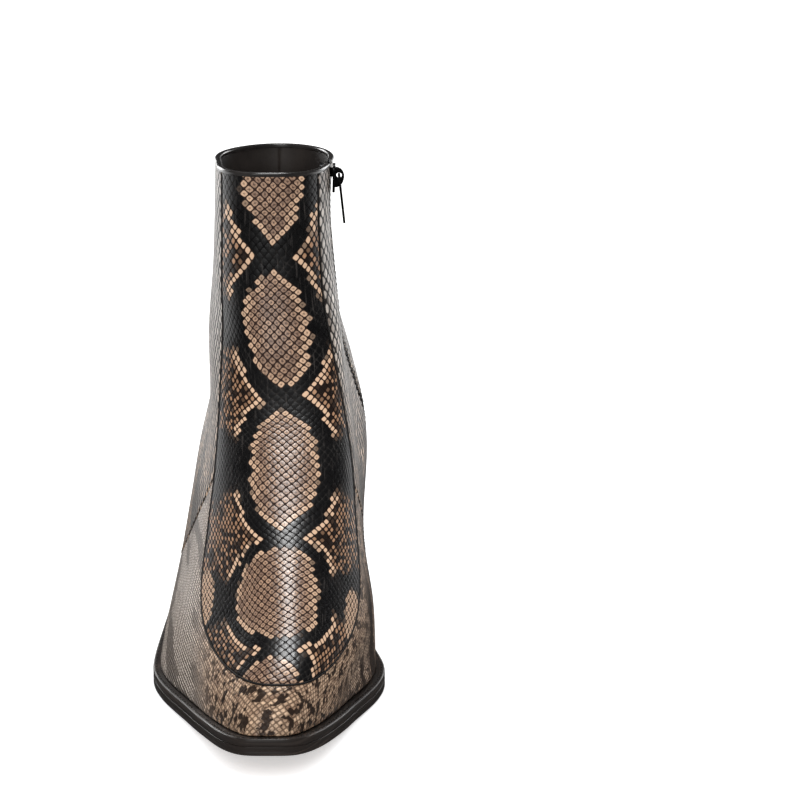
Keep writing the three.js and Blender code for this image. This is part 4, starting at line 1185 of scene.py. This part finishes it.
    def seam_line(self) -> tuple[np.ndarray, np.ndarray]:
        """v and g along the seam round the panel, from the outer side to the inner."""
        form = self.form
        leg = np.linspace(0.02, form.round_start, 120)
        end_v, end_g = form.panel_round(np.sin(np.linspace(-np.pi / 2, np.pi / 2, 160)[1:-1]))
        lateral, medial = form.panel_edge(leg, Side.LATERAL), form.panel_edge(leg, Side.MEDIAL)
        return np.concatenate([leg, end_v, leg[::-1]]), np.concatenate([-lateral, end_g, medial[::-1]])

    def seam_cord(self) -> None:
        """The dark cord in the seam round the panel."""
        v, g = self.seam_line()
        path = self.form.upper(v, g, 0.12)
        rings = tube_rings(path, self.form.normal(v, g), 0.42, 8)
        piece = loft_piece("panel_seam_cord", rings, [self.finishes.cord])
        settle(piece, "root", "black_leather", "panel_piping")

    def binding(self) -> None:
        """The rolled binding over the top edge, open at the zip."""
        form = self.form
        middle, radius, leg, opening, crown, thickness = 1.05, 1.3, 1.0, 4.4, 0.7, 0.55
        v0 = np.array([self.top_v])
        start = form.beside_zip(v0, opening)[0]
        end = form.beside_zip(v0, -opening)[0] + 2
        g = np.linspace(start, end, 261)
        angle = np.pi * np.linspace(0, 1, 15)
        reach = form.flat(np.full_like(g, 0.1), g)[:, 1]
        leg_v = leg * 0.1 / reach
        sections: list[np.ndarray] = []
        for share in np.linspace(1, 0, 5)[:-1]:
            sections.append(form.upper(self.top_v + share * leg_v, g, middle + radius))
        for turn in angle:
            ring = form.upper(np.full_like(g, self.top_v), g, middle + radius * math.cos(turn))
            ring[:, 2] += crown * radius * math.sin(turn)
            sections.append(ring)
        for share in np.linspace(0, 1, 5)[1:]:
            depth = middle - radius + 0.2 * share ** 3
            sections.append(form.upper(self.top_v + share * leg_v, g, depth))
        points = np.array(sections)
        hops = np.cumsum(np.r_[0, np.linalg.norm(np.diff(points[:, 0], axis=0), axis=1)])
        around = np.linspace(0, 2 * form.half_length(v0, Side.MEDIAL)[0], len(g))
        flat = np.stack(np.broadcast_arrays(around[None], hops[:, None]), axis=-1)
        piece = sheet_piece("topline_binding_roll", points, flat, thickness, self.finishes.binding)
        settle(piece, "root", "black_leather", "topline_binding")

    def linings(self) -> None:
        """The four lining leathers, close to the outer leather at the top and over the stiffeners below."""
        form = self.form
        fork, top, bottom, seam, zip_gap = (0.42, 0.6), 0.46, 0.975, 0.0016, 4.8

        def vamp(v: np.ndarray) -> np.ndarray:
            """The vamp lining's half share."""
            return 0.5 * np.clip((v - fork[0]) / (fork[1] - fork[0]), 0, 1)

        edges = {
            "vamp_lining": (lambda v: seam - vamp(v), lambda v: vamp(v) - seam, top, 90),
            "lateral_lining": (lambda v: np.full_like(v, -1.0), lambda v: -vamp(v) - seam, self.top_v, 90),
            "medial_front_lining": (
                lambda v: vamp(v) + seam, lambda v: form.beside_zip(v, -zip_gap), self.top_v, 50),
            "medial_rear_lining": (
                lambda v: form.beside_zip(v, zip_gap), lambda v: np.full_like(v, 1.0), self.top_v, 50),
        }
        for node, (start, end, first, columns) in edges.items():
            v = np.linspace(first, bottom, 110)
            g = mix(start(v)[:, None], end(v)[:, None], np.linspace(0, 1, columns)[None])
            vv = np.broadcast_to(v[:, None], g.shape)
            depth = mix(*self.lining_depth, ease(vv, *self.lining_slope))
            points = form.upper(vv, g, depth)
            piece = sheet_piece(f"{node}_leather", points, form.flat(vv, g), self.lining, self.finishes.lining)
            settle(piece, "root", "lining_leather", node)

    def stitches(self) -> None:
        """Rows of thread beside the zip, along the back seam and beside the toe wrap's side seams."""
        form, thread = self.form, self.finishes.thread

        def row(name: str, v: np.ndarray, g: np.ndarray, pitch: float = 2.6) -> None:
            """One row along v and g."""
            v, g = np.broadcast_arrays(v, g)
            up = form.normal(v, g)
            piece = stitch_piece(name, form.upper(v, g), up, pitch, pitch * 0.74, 0.19, thread)
            settle(piece, "root", "black_leather")

        foot = form.zip_v(self.zip_foot_z)
        leg = np.linspace(0.03, foot + 0.04, 140)
        for name, offset in (("front", -5.2), ("rear", 5.2)):
            row(f"zip_stitches_{name}", leg, form.beside_zip(leg, offset))
        back = np.linspace(0.03, 0.97, 150)
        for name, offset in (("outer", -1.0), ("inner", 1.0)):
            side = Side.LATERAL if offset < 0 else Side.MEDIAL
            row(f"back_seam_stitches_{name}", back, offset * (1 - 1.9 / form.half_length(back, side)))
        for name, side in (("outer", Side.LATERAL), ("inner", Side.MEDIAL)):
            low = np.linspace(form.wrap_start + 0.02, 0.97, 90)
            inset = 2.0 / form.half_length(low, side)
            row(f"wrap_stitches_{name}", low, side.value * (form.quarter_front(low, side) + inset))


# ---------------------------------------------------------------- the zip


@dataclass
class SideZip:
    """Tapes, coils, stops, slider and puller."""

    form: BootForm
    finishes: Finishes
    top_z: float = 199.7
    foot_z: float = 90
    spare_v: float = 0.012
    tape_half: float = 13
    tape_depth: float = 1.6
    tape_thickness: float = 0.5
    pitch: float = 1.5
    wire: float = 0.36
    coil_reach: tuple[float, float] = (1.42, 0.58)
    coil_depth: tuple[float, float] = (0.65, 0.42)

    def build(self) -> None:
        """Builds the zip."""
        form = self.form
        self.top_v = form.zip_v(self.top_z) + self.spare_v
        self.foot_v = form.zip_v(self.foot_z) + 2 * self.spare_v
        for name, side in (("front", -1), ("rear", 1)):
            self.tape(name, side)
            self.coil(name, side)
            self.stop(f"zip_top_stop_{name}", side * 1.45, 0.75, self.top_v - 0.018, self.top_v - 0.003)
        self.stop("zip_bottom_stop", 0, 2.0, self.foot_v + 0.004, self.foot_v + 0.02)
        self.moving()

    def tape(self, name: str, side: int) -> None:
        """One woven tape, with a raised cord beside the coil."""
        form = self.form
        v = np.linspace(self.top_v - self.spare_v / 2, self.foot_v + 0.02, 80)
        a = np.linspace(0, 1, 24)
        if side < 0:
            a = a[::-1]
        offsets = side * mix(0.7, self.tape_half, a)
        g = np.array([form.beside_zip(v, offset) for offset in offsets]).T
        vv = np.broadcast_to(v[:, None], g.shape)
        rib = 0.12 * np.cos(np.clip(a * self.tape_half - 1.5, -1, 1) * np.pi / 2)
        points = form.upper(vv, g, self.tape_depth - rib[None])
        flat = form.flat(vv, g)
        piece = sheet_piece(f"zip_tape_{name}_weave", points, flat, self.tape_thickness, self.finishes.tape)
        settle(piece, "root", "zip_tape", f"zip_tape_{name}")

    def coil(self, name: str, side: int) -> None:
        """One side's coil: a wire that loops towards the middle and back once for each tooth.

        It stays clear of the middle, where the slider's divider runs.

        Args:
            name: Front or rear.
            side: -1 in front of the zip's middle, 1 behind it.
        """
        form = self.form
        line = np.linspace(self.top_v, self.foot_v, 400)
        length = np.linalg.norm(np.diff(form.upper(line, form.zip_g(line)), axis=0), axis=1).sum()
        teeth = int(length / self.pitch)
        steps = np.linspace(0, 1, teeth * 10)
        v = mix(self.top_v, self.foot_v, steps)
        turn = 2 * np.pi * (steps * teeth + (0.5 if side > 0 else 0))
        g = form.beside_zip(v, side * (self.coil_reach[0] + self.coil_reach[1] * np.cos(turn)))
        path = form.upper(v, g, self.coil_depth[0] + self.coil_depth[1] * np.sin(turn))
        rings = tube_rings(path, form.normal(v, g), self.wire, 6)
        piece = loft_piece(f"zip_coil_{name}", rings, [self.finishes.metal])
        settle(piece, "root", "black_metal", f"zip_teeth_{name}")

    def stop(self, node: str, offset: float, half: float, v0: float, v1: float) -> None:
        """A pressed metal stop round the coil's end.

        Args:
            node: The frame's node that it stands for.
            offset: Millimetres behind the zip's middle.
            half: Half its width.
            v0: Its upper end.
            v1: Its lower end.
        """
        form = self.form
        rows = []
        for depth, grow in ((1.25, 0.75), (0.9, 1.0), (0.3, 1.0), (0.02, 0.75)):
            angle = 2 * np.pi * np.linspace(0, 1, 25)[:-1]
            x = np.sign(np.cos(angle)) * np.abs(np.cos(angle)) ** 0.5 * half * grow
            y = np.sign(np.sin(angle)) * np.abs(np.sin(angle)) ** 0.5 * (v1 - v0) / 2 * grow
            v = (v0 + v1) / 2 + y
            rows.append(form.upper(v, form.beside_zip(v, offset + x), depth))
        rows.insert(0, np.repeat(rows[0].mean(axis=0, keepdims=True), len(rows[0]), axis=0))
        rows.append(np.repeat(rows[-1].mean(axis=0, keepdims=True), len(rows[0]), axis=0))
        piece = loft_piece(f"{node}_clip", rows, [self.finishes.metal])
        settle(piece, "root", "black_metal", node)

    def moving(self) -> None:
        """The slider and the puller: the frame's own shapes with softened edges."""
        for node, bevel in (("zip_slider", 0.28), ("zip_puller", 0.26)):
            mesh = bmesh.new()
            mesh.from_mesh(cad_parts[node].data)
            bmesh.ops.transform(mesh, matrix=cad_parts[node].matrix_world, verts=mesh.verts[:])
            bmesh.ops.remove_doubles(mesh, verts=mesh.verts[:], dist=1e-6)
            bmesh.ops.dissolve_limit(mesh, angle_limit=math.radians(2), verts=mesh.verts[:], edges=mesh.edges[:])
            sharp = [e for e in mesh.edges if e.is_manifold and e.calc_face_angle(0) > math.radians(40)]
            bmesh.ops.bevel(
                mesh, geom=sharp, offset=bevel * MM, affect="EDGES", segments=2, profile=0.5, material=-1,
                clamp_overlap=True)
            piece = finish_mesh(f"{node}_body", mesh, [self.finishes.metal])
            settle(piece, node, "black_metal", node)


# ---------------------------------------------------------------- the sole and heel


@dataclass
class SoleAndHeel:
    """Welt, rand, outsole, stacked heel and the pieces inside the sole."""

    form: BootForm
    finishes: Finishes
    gap: float = 0.3
    outsole: float = 3.6
    welt: float = 2.8
    edge_lateral: float = 2.8
    edge_medial: float = 3.6
    edge_toe: float = 4.5
    seat: float = 1.4
    welt_turn: float = 2.06
    top_piece: float = 6
    lift: float = 7
    breast: float = 74
    back: tuple[float, float] = (124, 134.5)
    half: tuple[float, float] = (27.5, 32.5)
    lifts: int = 4
    inner_shares: Sequence[float] = (0.0, 0.35, 0.7)

    def build(self) -> None:
        """Builds the sole and the heel, and dresses the hidden nodes."""
        self.bottom()
        self.band("welt_strip", "welt", -self.welt_turn, self.welt_turn, 260)
        self.band("heel_rand_strip", "heel_rand", self.welt_turn + 0.002, 2 * np.pi - self.welt_turn - 0.002, 110)
        self.heel()
        self.welt_stitches()
        self.hidden()

    def grow(self, station: np.ndarray, side: np.ndarray) -> np.ndarray:
        """How far the sole stands out from the upper."""
        edge = np.where(side < 0, self.edge_lateral, self.edge_medial)
        front = mix(edge, self.edge_toe, ease(station, 0.85, 1))
        return mix(self.seat, front, ease(station, 0.25, 0.5))

    def ring(self, turn: np.ndarray, inset: float, lift: float) -> np.ndarray:
        """A line round the sole.

        Args:
            turn: 0 at the toe to 2 pi.
            inset: Millimetres inside the sole's edge.
            lift: Millimetres above the sole's underside.

        Returns:
            Its points.
        """
        wrapped = (turn + np.pi) % (2 * np.pi) - np.pi
        flat = self.form.outline(wrapped, lambda station, side: self.grow(station, side) - inset)
        z = self.form.underside(flat[:, 1] - self.form.shift[1]) + lift
        return np.column_stack([flat, z])

    def bottom(self) -> None:
        """The outsole: leather underneath, with a stained edge in two trimmed steps."""
        turn = np.linspace(-np.pi, np.pi, 321)[:-1]
        rim = [(1.2, 0.0), (0.45, 0.0), (0.12, 0.15), (0.0, 0.5), (0.0, 1.6), (0.08, 1.72), (0.0, 1.84),
               (0.0, 3.3), (0.04, 3.5), (0.25, self.outsole), (1.5, self.outsole)]
        rings = [self.ring(turn, inset, lift) for inset, lift in rim]
        rings = self._with_centre(rings, turn)
        leather = len(self.inner_shares)
        bands = [0] * leather + [1] * (len(rings) - 1 - leather)
        piece = loft_piece("outsole_leather", rings, [self.finishes.sole, self.finishes.edge], bands)
        settle(piece, "root", "outsole", "outsole")

    def _with_centre(self, rings: list[np.ndarray], turn: np.ndarray) -> list[np.ndarray]:
        """Adds rings that close the first and last ring down to the sole's middle line.

        Args:
            rings: The rim's rings.
            turn: Their turns.

        Returns:
            All the rings, from the middle of the underside to the middle of the top.
        """
        mirrored = np.argmin(np.abs(((turn[:, None] + turn[None, :]) + np.pi) % (2 * np.pi) - np.pi), axis=1)

        def inner(ring: np.ndarray) -> list[np.ndarray]:
            """Rings from the sole's middle line out towards the ring."""
            return [mix((ring + ring[mirrored]) / 2, ring, share) for share in self.inner_shares]

        return inner(rings[0]) + rings + inner(rings[-1])[::-1]

    def band(self, name: str, node: str, start: float, end: float, steps: int) -> None:
        """The welt or the rand: a strip with a rolled outer rim and a lip against the upper.

        Args:
            name: The piece's name.
            node: The frame's node that it stands for.
            start: The turn where it starts.
            end: The turn where it ends.
            steps: Cells along it.
        """
        high = self.outsole + self.gap + self.welt
        low = self.outsole + 0.03
        section = [(6.5, low), (0.3, low), (0.04, low + 0.1), (0.0, low + 0.3), (0.0, high - 1.0), (0.1, high - 0.45),
                   (0.35, high - 0.12), (0.75, high), (1.6, high), (2.0, high - 0.2), (2.6, high - 0.2),
                   (6.5, high - 0.05)]
        turn = np.linspace(start, end, steps)
        lines = [self.ring(turn, inset, lift) for inset, lift in section]
        profile = np.array(lines).transpose(1, 0, 2)
        ends = [np.repeat(profile[[i]].mean(axis=1), profile.shape[1], axis=0) for i in (0, -1)]
        piece = loft_piece(name, [ends[0], *profile, ends[1]], [self.finishes.edge])
        settle(piece, "root", "sole_edge", node)

    def welt_stitches(self) -> None:
        """The thread that sews the welt to the outsole."""
        turn = np.linspace(-self.welt_turn + 0.05, self.welt_turn - 0.05, 500)
        path = self.ring(turn, 1.35, self.outsole + self.gap + self.welt)
        up = np.tile([0.0, 0.0, 1.0], (len(path), 1))
        piece = stitch_piece("welt_stitches", path, up, 3.0, 2.3, 0.26, self.finishes.thread)
        settle(piece, "root", "sole_edge")

    def breast_top(self) -> float:
        """Height of the sole's underside at the heel's breast."""
        return float(self.form.underside(np.array([self.breast]))[0])

    def heel_ring(self, z: float, inset: float, slope: bool = False) -> np.ndarray:
        """The heel's D shaped outline at a height.

        Args:
            z: Millimetres above the floor.
            inset: Millimetres inside the outline.
            slope: Whether the ring follows the sole's underside.

        Returns:
            Its points, round from the outer corner of the breast.
        """
        rise = np.clip(z / self.breast_top(), 0, 1)
        back, half = mix(*self.back, rise), mix(*self.half, rise)
        along = np.sin(np.linspace(0, np.pi / 2, 45))
        fullness = np.clip((along - 0.25) / 0.75, 0, 1)
        reach = np.maximum(0, 1 - fullness ** 2.4) ** (1 / 2.2)
        y = mix(self.breast, back, along)
        across = np.linspace(-1, 1, 19)[1:-1]
        breast = np.column_stack([half * across, self.breast + 2.5 * (1 - across ** 2)])
        sides = np.column_stack([half * reach, y])
        ring = np.concatenate([breast, sides, (sides * [-1, 1])[::-1][1:]])
        middle = np.array([0, (self.breast + back) / 2])
        offset = ring - middle
        size = np.linalg.norm(offset, axis=1, keepdims=True)
        ring = middle + offset * (1 - inset / size)
        height = self.form.underside(ring[:, 1]) - self.gap if slope else np.full(len(ring), z)
        return np.column_stack([ring + self.form.shift, height])

    def heel(self) -> None:
        """The rubber top piece, the lifts and the wedge, each with rounded rims."""
        corner = ((0.35, 0.0), (0.08, 0.12), (0.0, 0.4))
        layers = [("heel_top_piece", 0.0, float(self.top_piece), self.finishes.rubber, "rubber")]
        z = self.top_piece + self.gap
        for i in range(1, self.lifts + 1):
            layers.append((f"heel_lift_{i}", z, z + self.lift, self.finishes.stack, "heel_leather"))
            z += self.lift + self.gap
        layers.append(("heel_wedge", z, self.breast_top(), self.finishes.stack, "heel_leather"))
        for node, low, high, material, slot in layers:
            rims = [self.heel_ring(low + rise, inset) for inset, rise in corner]
            if node == "heel_wedge":
                upper = self.heel_ring(high, 0.0, True)
                rims += [mix(rims[-1], upper, share) for share in (0.5, 0.96)]
                rims.append(self.heel_ring(high, 0.4, True))
            else:
                rims += [self.heel_ring(high - rise, inset) for inset, rise in corner[::-1]]
            bottom, top = (
                np.column_stack([np.full(len(ring), self.form.shift[0]), ring[:, 1:]])
                for ring in (rims[0], rims[-1]))
            rings = [bottom, mix(bottom, rims[0], 0.6), *rims, mix(top, rims[-1], 0.6), top]
            settle(loft_piece(f"{node}_block", rings, [material]), "root", slot, node)

    def hidden(self) -> None:
        """Dresses the nodes that stay as the frame has them."""
        finish = self.finishes
        looks = {
            "toe_puff": finish.board, "heel_counter": finish.board, "insole_board": finish.board,
            "sock_liner": finish.lining, "heel_pad": finish.foam, "cork_filler": finish.cork,
            "steel_shank": finish.steel, "heel_screw": finish.steel,
            **{f"heel_nail_{i}": finish.steel for i in range(1, 5)},
        }
        for node, material in looks.items():
            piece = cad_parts[node]
            piece.data.materials.clear()
            piece.data.materials.append(material)


# ---------------------------------------------------------------- the studio


@dataclass
class Studio:
    """Pale floor, soft lights and the camera."""

    camera_place: tuple[float, float, float] = (0.0535, -1.273, 0.414)
    camera_tilt: float = 76.67
    lens: float = 144.4
    sensor: float = 36.0
    floor: float = 30.0
    floor_drop: float = 0.0002
    floor_colour: tuple[float, float, float, float] = (0.9, 0.9, 0.9, 1)
    floor_in_gloss: tuple[float, float, float, float] = (0.06, 0.06, 0.06, 1)
    floor_front: tuple[float, float] = (0.55, 0.15)
    floor_glow: float = 0.5
    sky: float = 0.85
    sky_less_in_gloss: float = 0.82
    lights: Sequence[tuple[str, tuple[float, float, float], float, float]] = (
        ("left", (-0.8, 1.5, 0.35), 0.6, 6),
        ("right", (0.8, 1.6, 0.35), 0.6, 4),
        ("top", (-0.03, 0.3, 1.6), 0.3, 10),
        ("front", (-0.5, -2.4, 1.3), 1.5, 16),
    )
    boot_middle: tuple[float, float, float] = (0, 0, 0.1)

    def build(self) -> None:
        """Sets the stage."""
        self.lay_floor()
        self.light_world()
        for lamp in self.lights:
            self.light(*lamp)
        self.place_camera()

    def lay_floor(self) -> None:
        """The floor, which gives the camera some light and is dim in reflections in front of the boot."""
        material, graph, shader = new_material("pale floor")
        path = graph.node("ShaderNodeLightPath").outputs
        place = graph.node("ShaderNodeSeparateXYZ", {0: graph.node("ShaderNodeTexCoord").outputs["Object"]})
        front = graph.math("MULTIPLY", path["Is Glossy Ray"], graph.step(place.outputs[1], *self.floor_front))
        graph.feed(shader.inputs["Base Color"], graph.blend(front, self.floor_colour, self.floor_in_gloss))
        graph.feed(shader.inputs["Emission Strength"], graph.math("MULTIPLY", path["Is Camera Ray"], self.floor_glow))
        shader.inputs["Emission Color"].default_value = (1, 1, 1, 1)
        shader.inputs["Roughness"].default_value = 0.9
        shader.inputs["Specular IOR Level"].default_value = 0.0
        mesh = bmesh.new()
        bmesh.ops.create_grid(mesh, x_segments=1, y_segments=1, size=self.floor / 2)
        bmesh.ops.translate(mesh, verts=mesh.verts[:], vec=(0, 0, -self.floor_drop))
        finish_mesh("floor", mesh, [material])

    def light_world(self) -> None:
        """The even light from all round, dimmer in reflections."""
        world = bpy.data.worlds.new("studio")
        bpy.context.scene.world = world
        world.use_nodes = True
        graph = Graph(world.node_tree)
        gloss = graph.node("ShaderNodeLightPath").outputs["Is Glossy Ray"]
        background = world.node_tree.nodes["Background"]
        background.inputs["Color"].default_value = (1, 1, 1, 1)
        less = graph.math("MULTIPLY", gloss, self.sky_less_in_gloss)
        graph.feed(background.inputs["Strength"], graph.math("SUBTRACT", self.sky, less))

    def light(self, name: str, place: tuple[float, float, float], size: float, power: float) -> None:
        """A square soft light that faces the boot."""
        data = bpy.data.lights.new(name, "AREA")
        data.size = size
        data.energy = power
        lamp = bpy.data.objects.new(name, data)
        bpy.context.scene.collection.objects.link(lamp)
        lamp.location = place
        lamp.rotation_euler = (Vector(self.boot_middle) - Vector(place)).to_track_quat("-Z", "Y").to_euler()

    def place_camera(self) -> None:
        """The camera in front of the boot."""
        camera = bpy.data.objects.new("camera", bpy.data.cameras.new("camera"))
        bpy.context.scene.collection.objects.link(camera)
        camera.location = self.camera_place
        camera.rotation_euler = Euler((math.radians(self.camera_tilt), 0, 0))
        camera.data.lens = self.lens
        camera.data.sensor_width = self.sensor
        bpy.context.scene.camera = camera
        bpy.context.scene.view_settings.view_transform = "Standard"


def main() -> None:
    """Builds the studio and the boot."""
    logging.basicConfig(level=logging.INFO, format="%(message)s")
    Studio().build()
    form = BootForm()
    finishes = Finishes()
    Upper(form, finishes).build()
    SideZip(form, finishes).build()
    SoleAndHeel(form, finishes).build()


if __name__ == "__main__":
    main()
